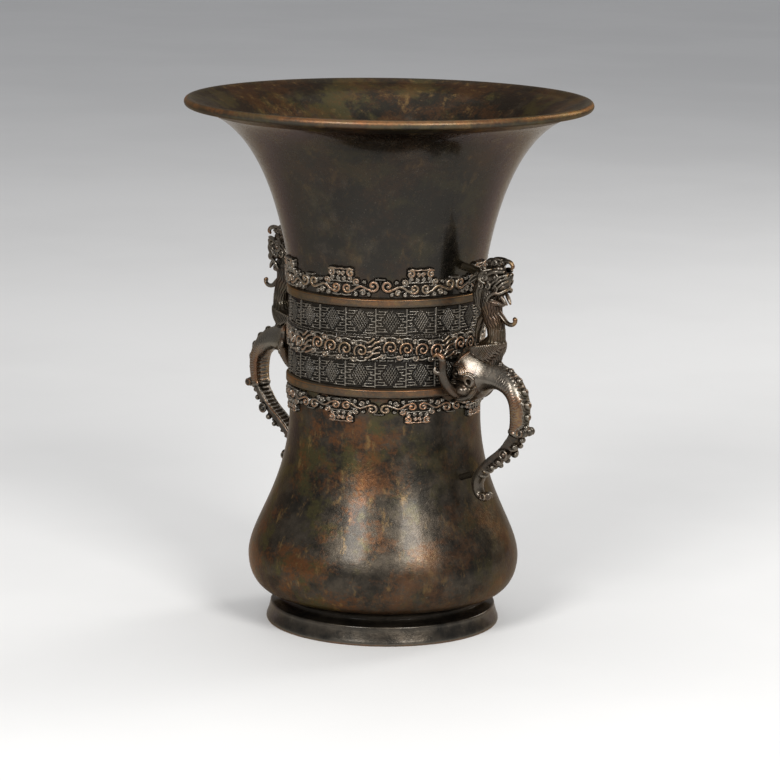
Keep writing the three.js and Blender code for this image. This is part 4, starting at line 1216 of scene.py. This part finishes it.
def dragon_clay(grain, hair):
    """The dragon's head: mane, short raised muzzle with snarling folds, open mouth, fangs, lidded eyes."""
    clay = Clay((-2, -12, 32), (40, 12, 67), grain)
    strut = [(0.5, 58.8, 1.9, 1.9), (8.0, 57.8, 2.0, 2.0), (17.0, 55.4, 4.6, 4.6)]
    clay.limb(strut, 0.6, hair, locks=9)
    mane = [(20.5, 54, 6.8, 6.6), (16.6, 48, 6.4, 5.7), (15.9, 42, 5.6, 4.9), (18.8, 35.6, 3.6, 2.6)]
    clay.limb(mane, 0.8, hair, locks=18, wave=0.4)
    clay.lump((23, 0, 55.4), (7.6, 7.2, 6.6), 1.2)
    clay.limb([(24, 55.4, 6.6, 5.6), (28.4, 55.6, 5.6, 4.8), (31.4, 55.4, 4.2, 3.9)], 1.0)
    clay.lump((28.4, 0, 50.8), (5.6, 5.6, 3.8), 1.0)
    jaw = [(21.5, 44.4, 5.8, 4.8), (26.2, 42.4, 5.0, 3.6), (29.6, 41.6, 3.4, 2.0)]
    clay.limb(jaw, 0.9, 0.7 * hair, locks=14)
    clay.lump((32.0, 0, 44.8), (5.4, 8.0, 2.0), 0.4, take=True)
    lip = [(23.6, 6.0, 42.8), (25.4, 6.3, 45.6), (28.4, 5.9, 47.6), (31.6, 4.6, 47.9), (33.6, 2.9, 49.4),
           (34.2, 0.0, 50.4)]
    clay.strand(lip, [0.7, 0.95, 1.0, 0.95, 0.9, 0.9], 0.3)
    folds = (((27.4, 5.9, 50.2), (29.6, 5.6, 52.9), (32.0, 4.6, 55.0), (34.4, 2.6, 56.2)),
             ((29.6, 5.5, 49.6), (31.2, 5.1, 51.6), (33.2, 4.0, 53.6), (35.0, 2.2, 54.8)),
             ((26.4, 6.3, 52.2), (28.6, 6.0, 54.4), (31.2, 5.0, 56.6), (33.6, 3.2, 57.8)))
    for fold in folds:
        clay.strand(fold, [0.5, 0.8, 0.8, 0.6], 0.2)
    clay.curl((29.4, 49.8), 1.6, 1.2, 150, -1, 5.7, 0.6)
    clay.lump((33.6, 1.8, 57.6), (2.0, 1.9, 1.7), 0.5, both=True)
    clay.lump((35.2, 1.7, 57.4), (0.8, 0.7, 0.7), 0.2, take=True, both=True)
    fang = [(30.4, 2.4, 47.0), (31.8, 2.4, 45.0), (33.2, 2.0, 43.2), (34.4, 1.5, 41.6)]
    clay.strand(fang, [1.0, 1.2, 1.05, 0.55], 0.3)
    clay.lump((28.7, 5.5, 56.6), (1.7, 1.5, 1.4), 0.2, both=True)
    clay.ring((28.7, 5.9, 56.6), 2.1, 0.6)
    brow = [(23.6, 6.6, 56.6), (26.2, 6.6, 58.8), (29.8, 5.6, 59.8), (33.2, 3.6, 59.8)]
    clay.strand(brow, [1.0, 1.35, 1.3, 0.8], 0.3)
    clay.lump((27.6, 0, 60.4), (3.6, 3.6, 3.0), 1.0)
    for curl in (((22.8, 56.4), 2.6, 1.4, 60, 1, 7.2, 0.85), ((20.2, 60.0), 2.0, 1.3, -30, 1, 5.8, 0.8),
                 ((24.6, 51.4), 2.0, 1.3, 90, -1, 6.8, 0.75), ((20.4, 51.4), 2.2, 1.4, 60, 1, 7.2, 0.8),
                 ((15.8, 56.0), 1.9, 1.3, 20, 1, 5.4, 0.75)):
        clay.curl(*curl)
    cheek = np.exp(-((clay.o - 22.6)**2 + (clay.u - 55.6)**2) / 6.0)
    clay.polish_and_highlight(0.5 * cheek + 0.35 * ramp(clay.o, 32.5, 35.5))
    clay.trim(wall_radius(SEAT_Z + clay.u) - 0.4 - np.hypot(RELIEF_R + clay.o, clay.y))
    return clay


def crest_clay(grain):
    """The crest: a flat-topped block of curls and a forward hook."""
    clay = Clay((17, -6.5, 56), (40, 6.5, 69), grain)
    block = [(21.8, 59, 2.6, 2.2), (22.4, 62.6, 3.2, 2.6), (25.6, 63.8, 3.3, 2.3), (29.6, 64.2, 2.7, 1.9)]
    clay.limb(block, 0.4)
    hook = [(29.0, 0, 64.6), (32.8, 0, 65.4), (35.6, 0, 64.6), (36.8, 0, 62.8), (36.0, 0, 61.6)]
    clay.strand(hook, [1.5, 1.25, 1.2, 1.1, 0.8], 0.5, both=False)
    clay.curl((22.0, 63.0), 2.1, 1.3, -20, 1, 2.9, 0.85)
    clay.curl((26.2, 63.6), 1.9, 1.3, 200, -1, 3.0, 0.8)
    clay.curl((29.4, 63.4), 1.3, 1.1, 20, 1, 2.5, 0.65)
    edge = [(20.2, 1.8, 64.4), (22.6, 2.4, 65.6), (26.4, 2.6, 66.0), (30.4, 2.0, 66.0)]
    clay.strand(edge, [0.7, 0.85, 0.85, 0.6], 0.3)
    clay.strand([(20.4, 2.4, 60.6), (23.4, 3.0, 60.0), (26.8, 3.2, 60.8)], [0.7, 0.8, 0.6], 0.3)
    clay.polish_and_highlight(0.7 * ramp(clay.o, 33.5, 36.0))
    return clay


def ear_clay(way, grain):
    """One ear: a curled leaf beside the eye, with a point that lies back on the mane."""
    clay = Clay((10, min(3 * way, 13 * way), 48), (29, max(3 * way, 13 * way), 63), grain)
    curl = [(25.4, 5.2, 60.4), (22.0, 6.8, 59.4), (19.6, 7.8, 56.8), (20.6, 8.2, 54.2), (23.4, 7.8, 53.0)]
    point = [(20.6, 7.4, 57.0), (16.8, 8.6, 55.4), (14.0, 9.0, 53.0), (12.6, 8.8, 50.8)]
    groove = [(19.0, 9.4, 56.6), (16.4, 10.2, 55.0), (14.2, 10.2, 53.0)]
    clay.strand(flipped(curl, way), [0.8, 1.3, 1.5, 1.3, 0.7], 0.4, both=False)
    clay.strand(flipped(point, way), [1.5, 1.6, 1.2, 0.5], 0.4, both=False)
    clay.strand(flipped(groove, way), [0.6, 0.8, 0.5], 0.3, take=True, both=False)
    return clay


def hook_clay(grain):
    """The beard: a thin twisted lock that ends in a knobbed hook."""
    clay = Clay((24, -4, 27), (43, 4, 40), grain)
    path = np.array([(26.5, 0, 37), (30.2, 0, 33.8), (33.6, 0, 31.0), (37.2, 0, 30.6), (39.4, 0, 32.4),
                     (38.8, 0, 34.2)])
    sizes = np.array([1.7, 1.5, 1.3, 1.2, 1.1, 0.9])
    clay.strand(path, sizes, both=False)
    clay.strand(path + np.column_stack([0 * sizes, 0.75 * sizes, 0.3 * sizes]), 0.42 * sizes, 0.2)
    clay.lump((39.2, 0, 33.6), (1.35, 1.4, 1.35), 0.4)
    clay.polish_and_highlight(0.8 * ramp(clay.o, 36.5, 39.0))
    return clay


# Stage


# Radius of the floor in metres, its sides, and the tint of the room's light
FLOOR_REACH = 14.0
FLOOR_SIDES = 96
ROOM_TINT = (0.93, 0.95, 1.0, 1.0)


def lay_floor(colours):
    """A plain pale floor that reaches past the picture."""
    turn = np.linspace(0, math.tau, FLOOR_SIDES, endpoint=False)
    corners = [(FLOOR_REACH * math.cos(t), FLOOR_REACH * math.sin(t), 0.0) for t in turn]
    mesh = bpy.data.meshes.new("floor")
    mesh.from_pydata(corners, [], [list(range(FLOOR_SIDES))])
    finish = Finish("floor")
    shade = [c * 0.96 for c in colours.floor]
    colour = finish.mix(finish.between(finish.noise(3.0, 4.0), 0.35, 0.65), shade, colours.floor)
    grain = finish.noise(260.0, 3.0)
    roughness = 0.62 + 0.1 * (grain - 0.5)
    mesh.materials.append(finish.surface(colour, roughness, finish.bump(grain, 0.0002, 0.3),
                                         metallic=0.0, coat=0.0, coat_roughness=0.3))
    floor = place("floor", mesh)


def set_camera(scene, stage, back, right):
    """Stands the camera back from the vessel's middle, with its aim, lean and lens."""
    up = back.cross(right)
    middle = Vector((0, 0, TOP_Z * MM / 2))
    spot = middle + back * stage.distance
    aim = middle + right * stage.aim_right - up * stage.aim_down
    depth = (spot - aim).normalized()
    level = Vector((0, 0, 1)).cross(depth).normalized()
    level = Matrix.Rotation(stage.roll, 3, depth) @ level
    upright = depth.cross(level)
    camera = bpy.data.objects.new("camera", bpy.data.cameras.new("camera"))
    camera.matrix_world = Matrix.Translation(spot) @ Matrix((level, upright, depth)).transposed().to_4x4()
    camera.data.lens = stage.lens
    camera.data.sensor_width = 36.0
    camera.data.clip_end = 100.0
    scene.collection.objects.link(camera)
    scene.camera = camera


def hang_softboxes(scene, power, back, right):
    """Two softboxes in front, a wide one above, and a tall one behind on the right."""
    front = Vector((back.x, back.y, 0)).normalized()
    up = Vector((0, 0, 1))
    target = Vector((0, 0, 0.15))
    for name, spot, size, share in (
            ("left softbox", front * 1.6 - right * 0.85 + up * 1.25, (0.6, 0.7), 1.0),
            ("right softbox", front * 1.6 + right * 0.85 + up * 1.25, (0.6, 0.7), 1.0),
            ("top softbox", up * 2.4 - front * 0.5, (1.6, 1.6), 0.4),
            ("rim softbox", right * 1.5 - front * 1.1 + up * 1.1, (0.6, 1.2), 0.5)):
        lamp = bpy.data.lights.new(name, "AREA")
        lamp.shape = "RECTANGLE"
        lamp.size, lamp.size_y = size
        lamp.energy = share * power
        holder = bpy.data.objects.new(name, lamp)
        holder.location = spot
        holder.rotation_euler = (target - spot).to_track_quat("-Z", "Y").to_euler()
        scene.collection.objects.link(holder)


# Operators, one for the stage and one for each piece or group of like pieces


class HU_OT_foot(bpy.types.Operator):
    """Turns the splayed foot with its hollow neck, and the bottom plate inside it"""

    bl_idname = "hu.foot"
    bl_label = "Foot and bottom"

    def execute(self, context):
        made = finishes(context.scene.hu_colours)
        sides = context.scene.hu_shells.turns
        hollow = FOOT_R - 6.5
        splay = [(FOOT_R - 0.1, 2.0), (FOOT_R - 1.3, 5.0), (FOOT_R - 2.3, 9.0)]
        scoop = [(FOOT_R - 4.4, 10.9), (FOOT_NECK_R + 1.6, 11.3), (FOOT_NECK_R + 0.2, 12.0),
                 (FOOT_NECK_R, 14.2)]
        rise = [(FOOT_NECK_R, 14.4), (FOOT_NECK_R + 0.2, 16.4), (BELLY_SEAT_R, FOOT_SEAT_Z)]
        foot = np.vstack([
            worn([(hollow, 0.0), (FOOT_R - 1.0, 0.0)], 0.0),
            worn(arc((FOOT_R - 0.9, 0.9), 0.9, -80, 5, 6), (0.5, 0.95, 0.8)),
            worn(bezier(splay, 10), (0.3, 0.0, 0.1, 0.3)),
            worn(arc((FOOT_R - 3.4, 9.7), 1.1, 5, 88, 7), (0.1, 0.2, 0.1)),
            # Painted shade: the hollow neck under the belly is darkened by low wear
            worn(bezier(scoop, 10), (0.0, -0.4, -0.4)),
            worn(bezier(rise, 8), (-0.4, -0.3, 0.0)),
            worn([(BORE_R, FOOT_SEAT_Z), (BORE_R, 9.2), (hollow - 0.6, 1.0)], 0.0),
        ])
        piece = turned("foot_ring_casting", foot, made["dark bronze"], sides)
        seat(piece, "dark_bronze", "foot_ring")
        spigot, recess = BORE_R - FIT_GAP, BORE_R - 4.3
        ledge = FLOOR_TOP_Z - 3.0
        plate = worn([
            (0.0, ledge), (recess, ledge), (recess, FLOOR_LOW_Z), (spigot, FLOOR_LOW_Z), (spigot, ledge),
            (FLOOR_R, ledge), (FLOOR_R, FLOOR_TOP_Z - 0.5), (FLOOR_R - 0.5, FLOOR_TOP_Z),
            (recess, FLOOR_TOP_Z), (20.0, FLOOR_TOP_Z), (0.0, FLOOR_TOP_Z)], -0.2)
        piece = turned("floor_plate_casting", plate, made["dark bronze"], sides)
        seat(piece, "dark_bronze", "floor_plate")
        return {"FINISHED"}


class HU_OT_belly(bpy.types.Operator):
    """Turns the low round belly"""

    bl_idname = "hu.belly"
    bl_label = "Belly"

    def execute(self, context):
        made = finishes(context.scene.hu_colours)
        shells = context.scene.hu_shells
        wall = shells.wall / MM
        outside = belly_line()
        inside = inset(outside, wall)
        inside = inside[inside[:, 1] > BELLY_Z + wall + 0.5]
        lap = SLEEVE_LOW_Z - FIT_GAP
        shoulder = LOWER_FILLET_Z - 0.1
        profile = np.vstack([
            # Painted shade: the underside of the belly near the foot is darkened by low wear
            worn([(BORE_R, BELLY_Z)], -0.3),
            worn(outside, (-0.45, -0.1, 0.1, 0.05, 0.0, 0.0)),
            worn([(WAIST_R, BELLY_TOP_Z), (WAIST_R, shoulder), (RING_INNER_R, shoulder), (RING_INNER_R, lap),
                  (WAIST_R - wall, lap)], 0.0),
            worn(inside[::-1], -0.2),
            worn([(inside[0, 0] - 1.0, BELLY_Z + wall), (BORE_R, BELLY_Z + wall)], -0.2),
        ])
        piece = turned("belly_casting", profile, made["belly bronze"], shells.turns)
        seat(piece, "belly_bronze", "belly")
        return {"FINISHED"}


class HU_OT_neck(bpy.types.Operator):
    """Turns the sleeve inside the waist, the trumpet neck and the rim of the mouth"""

    bl_idname = "hu.neck"
    bl_label = "Neck and mouth"

    def execute(self, context):
        made = finishes(context.scene.hu_colours)
        shells = context.scene.hu_shells
        wall, lip = shells.wall / MM, shells.lip / MM
        sleeve = worn([(SLEEVE_R - wall, SLEEVE_LOW_Z), (SLEEVE_R, SLEEVE_LOW_Z), (SLEEVE_R, SLEEVE_TOP_Z),
                       (SLEEVE_R - wall, SLEEVE_TOP_Z)], -0.2)
        piece = turned("waist_sleeve_casting", sleeve, made["dark bronze"], shells.turns)
        seat(piece, "dark_bronze", "waist_sleeve")
        outside = neck_line()
        inside = inset(outside, wall)
        joint = int(np.searchsorted(outside[:, 0], RIM_JOINT_R))
        lap = SLEEVE_TOP_Z + FIT_GAP
        shell = inside[:joint + 1]
        neck = np.vstack([
            worn([(RING_INNER_R, NECK_Z - 5.5), (NECK_START_R, NECK_Z - 5.5)], 0.0),
            worn(outside[:joint + 1], 0.0),
            worn(shell[shell[:, 1] > lap][::-1], (0.0, 0.0, 0.0, -0.1, -0.2)),
            worn([(NECK_START_R - wall, lap), (RING_INNER_R, lap)], -0.2),
        ])
        piece = turned("neck_casting", neck, made["neck bronze"], shells.turns)
        mark_lining(piece.data, wall)
        seat(piece, "dark_bronze", "neck")
        bead = (outside[-1, 0], TOP_Z - lip / 2)
        flare = inside[joint:]
        flare = flare[flare[:, 0] < bead[0] - 5.0]
        rim = np.vstack([
            worn(outside[joint:-2], (0.0, 0.0, 0.1)),
            worn(arc(bead, lip / 2, -85, 90, 14), (0.0, 0.3, 0.75, 0.9, 0.6)),
            worn(bezier([(bead[0] - 1.0, TOP_Z - 0.15), (bead[0] - 3.0, TOP_Z - 1.0), tuple(flare[-1])], 6),
                 (0.45, 0.2, 0.1)),
            worn(flare[::-1][1:], (0.1, 0.05, 0.0)),
        ])
        piece = turned("mouth_rim_casting", rim, made["mouth bronze"], shells.turns)
        seat(piece, "dark_bronze", "mouth_rim")
        return {"FINISHED"}


class HU_OT_fillets(bpy.types.Operator):
    """Turns the two plain fillet bands"""

    bl_idname = "hu.fillets"
    bl_label = "Fillet bands"

    def execute(self, context):
        made = finishes(context.scene.hu_colours)
        for node in ("lower_fillet_band", "upper_fillet_band"):
            radius, low, high = reach(node)
            high += BAND_LAP
            band = np.vstack([
                # Painted shade: the underside of each band and its lower corner are darkened by low wear
                worn([(RING_INNER_R, low), (WAIST_R + 0.6, low)], -0.3),
                worn(arc((radius - 0.7, low + 1.3), 0.7, -60, 0, 5), (-0.2, 0.3, 0.6)),
                worn([(radius, low + 2.4), (radius, high - 2.2)], 0.74),
                worn(arc((radius - 0.6, high - 1.6), 0.6, 0, 62, 5), (0.6, 1.0, 0.9)),
                worn([(WAIST_R + 0.9, high - 0.25), (WAIST_R + 0.5, high), (RING_INNER_R, high)],
                     (0.4, 0.0, 0.0)),
            ])
            piece = turned(f"{node}_casting", band, made["worn bronze"], context.scene.hu_shells.turns)
            seat(piece, "worn_bronze", node)
        return {"FINISHED"}


class HU_OT_frets(bpy.types.Operator):
    """Casts the two key-fret registers"""

    bl_idname = "hu.frets"
    bl_label = "Key-fret registers"

    def execute(self, context):
        made = finishes(context.scene.hu_colours)
        for node in ("lower_fret_register", "upper_fret_register"):
            _, low, high = reach(node)
            piece = fret_register(f"{node}_casting", low - FIELD_LAP[0], high + FIELD_LAP[1],
                                  context.scene.hu_relief, made["fret bronze"])
            seat(piece, "dark_bronze", node)
        return {"FINISHED"}


class HU_OT_clouds(bpy.types.Operator):
    """Casts the three cloud friezes"""

    bl_idname = "hu.clouds"
    bl_label = "Cloud friezes"

    def execute(self, context):
        made = finishes(context.scene.hu_colours)
        sizes = context.scene.hu_relief
        for node, hanging in (("lower_cloud_frieze", True), ("upper_cloud_frieze", False)):
            _, low, high = reach(node)
            piece = cloud_frieze(f"{node}_casting", low, high + BAND_LAP, hanging, sizes,
                                 made["cloud bronze"])
            seat(piece, "dark_bronze", node)
        node = "middle_cloud_frieze"
        _, low, high = reach(node)
        piece = middle_frieze(f"{node}_casting", low - FIELD_LAP[0], high + FIELD_LAP[1], sizes,
                              made["cloud bronze"])
        seat(piece, "dark_bronze", node)
        return {"FINISHED"}


class HU_OT_beasts(bpy.types.Operator):
    """Models the beasts: arched bodies, heads and tusks"""

    bl_idname = "hu.beasts"
    bl_label = "Beasts"

    def execute(self, context):
        metal = finishes(context.scene.hu_colours)["handle bronze"]
        grain = context.scene.hu_handles.grain / MM
        sculpted("arch", arch_clay(grain), "dark_bronze", metal)
        sculpted("beast_head", beast_clay(grain), "dark_bronze", metal)
        sculpted("tusk_front", tusk_clay(-1, grain), "worn_bronze", metal)
        sculpted("tusk_back", tusk_clay(1, grain), "worn_bronze", metal)
        return {"FINISHED"}


class HU_OT_dragons(bpy.types.Operator):
    """Models the dragons: collars, necks, heads, crests, ears and beards"""

    bl_idname = "hu.dragons"
    bl_label = "Dragons"

    def execute(self, context):
        metal = finishes(context.scene.hu_colours)["handle bronze"]
        handles = context.scene.hu_handles
        grain, hair = DRAGON_GRAIN * handles.grain / MM, handles.hair / MM
        sculpted("collar", collar_clay(grain), "dark_bronze", metal)
        sculpted("dragon_neck", neck_clay(grain, hair), "dark_bronze", metal)
        sculpted("dragon_head", dragon_clay(grain, hair), "dark_bronze", metal)
        sculpted("dragon_crest", crest_clay(grain), "worn_bronze", metal)
        sculpted("dragon_ear_front", ear_clay(-1, grain), "dark_bronze", metal)
        sculpted("dragon_ear_back", ear_clay(1, grain), "dark_bronze", metal)
        sculpted("beard_hook", hook_clay(grain), "worn_bronze", metal)
        return {"FINISHED"}


class HU_OT_knobs(bpy.types.Operator):
    """Sets the row of ringed knobs along each arch"""

    bl_idname = "hu.knobs"
    bl_label = "Knobs"

    def execute(self, context):
        made = finishes(context.scene.hu_colours)
        size = context.scene.hu_handles.knob / MM
        profile = np.vstack([
            worn([(0.0, -1.2), (1.05, -1.2), (1.1, 0.0)], 0.0),
            worn(arc((0.9, 0.12), 0.22, -60, 120, 6), (0.0, 0.3, 0.0)),
            worn(arc((0.0, 0.22), 0.82, 12, 90, 9), (-0.3, 0.4, 0.8, 0.9)),
        ])
        profile[:, :2] *= size
        for hand, way in (("right", 1), ("left", -1)):
            marks = []
            for spot, out, share in knob_places():
                spot = spot - 0.8 * out
                marks.append(((way * (RELIEF_R + spot[0]) * MM, 0.0, (SEAT_Z + spot[1]) * MM),
                              (0.0, math.atan2(way * out[0], out[1]), 0.0), share))
            unit = unit_mesh(f"{hand}_knob", profile, made["handle bronze"], 20)
            piece = set_on_path(f"{hand}_arch_knobs", unit, marks, made["handle bronze"])
            seat(piece, "worn_bronze")
        return {"FINISHED"}


class HU_OT_rivets(bpy.types.Operator):
    """Sets the rivets that pin the handles from inside the wall"""

    bl_idname = "hu.rivets"
    bl_label = "Rivets"

    def execute(self, context):
        made = finishes(context.scene.hu_colours)
        length = (SEAT_HIGH.x - SEAT_LOW.x) / MM
        marks, nodes = [], []
        for seat_name, tilt in (("nape", -0.16), ("seat", 0.0), ("tail", 0.36)):
            for hand, way in (("right", 1), ("left", -1)):
                node = f"{hand}_{seat_name}_rivet"
                low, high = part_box(node)
                middle = (low + high) / 2
                marks.append((tuple(middle), (0.0, way * (math.pi / 2 - tilt), 0.0),
                              (high.x - low.x) / MM / length))
                nodes.append(node)
        half = length / 2
        profile = np.vstack([
            worn([(0.0, -half)], 0.6),
            worn(bezier([(0.8, -half), (3.6, -half + 0.2), (4.0, -half + 1.8)], 9), (0.6, 0.3)),
            worn([(2.0, -half + 1.9), (2.0, half), (0.0, half)], -0.45),
        ])
        unit = unit_mesh("rivet", profile, made["worn bronze"], 24)
        piece = set_on_path("handle_rivets", unit, marks, made["worn bronze"])
        seat(piece, "worn_bronze", *nodes)
        return {"FINISHED"}


class HU_OT_stage(bpy.types.Operator):
    """Lays the floor, hangs the softboxes and sets the camera"""

    bl_idname = "hu.stage"
    bl_label = "Stage"

    def execute(self, context):
        scene = context.scene
        stage = scene.hu_stage
        e, a = stage.elevation, stage.azimuth
        back = Vector((math.sin(a) * math.cos(e), -math.cos(a) * math.cos(e), math.sin(e)))
        right = Vector((math.cos(a), math.sin(a), 0.0))
        lay_floor(scene.hu_colours)
        set_camera(scene, stage, back, right)
        hang_softboxes(scene, stage.key_power, back, right)
        world = bpy.data.worlds.new("room")
        world.use_nodes = True
        sky = world.node_tree.nodes["Background"]
        sky.inputs["Color"].default_value = ROOM_TINT
        sky.inputs["Strength"].default_value = stage.sky
        scene.world = world
        scene.view_settings.view_transform = "Standard"
        return {"FINISHED"}


class HU_PT_vessel(bpy.types.Panel):
    """Shows the settings, and the operators that make the pieces"""

    bl_idname = "HU_PT_vessel"
    bl_label = "Bronze hu vessel"
    bl_space_type = "VIEW_3D"
    bl_region_type = "UI"
    bl_category = "Hu vessel"

    def draw(self, context):
        layout = self.layout
        for group in (context.scene.hu_shells, context.scene.hu_relief, context.scene.hu_handles,
                      context.scene.hu_colours, context.scene.hu_stage):
            box = layout.box()
            for name in group.__annotations__:
                box.prop(group, name)
        for operator in OPERATORS:
            layout.operator(operator.bl_idname)


GROUPS = {"hu_shells": HuShellSizes, "hu_relief": HuReliefSizes, "hu_handles": HuHandleSizes,
          "hu_colours": HuColours, "hu_stage": HuStage}
OPERATORS = (HU_OT_stage, HU_OT_foot, HU_OT_belly, HU_OT_neck, HU_OT_fillets, HU_OT_frets, HU_OT_clouds,
             HU_OT_beasts, HU_OT_dragons, HU_OT_knobs, HU_OT_rivets)


def register():
    for group in (*GROUPS.values(), *OPERATORS, HU_PT_vessel):
        bpy.utils.register_class(group)
    for name, group in GROUPS.items():
        setattr(bpy.types.Scene, name, PointerProperty(type=group))


def unregister():
    for name in GROUPS:
        delattr(bpy.types.Scene, name)
    for group in (HU_PT_vessel, *reversed(OPERATORS), *reversed(GROUPS.values())):
        bpy.utils.unregister_class(group)


def main():
    register()
    bpy.ops.hu.stage()
    bpy.ops.hu.foot()
    bpy.ops.hu.belly()
    bpy.ops.hu.neck()
    bpy.ops.hu.fillets()
    bpy.ops.hu.frets()
    bpy.ops.hu.clouds()
    bpy.ops.hu.beasts()
    bpy.ops.hu.dragons()
    bpy.ops.hu.knobs()
    bpy.ops.hu.rivets()


if __name__ == "__main__":
    main()
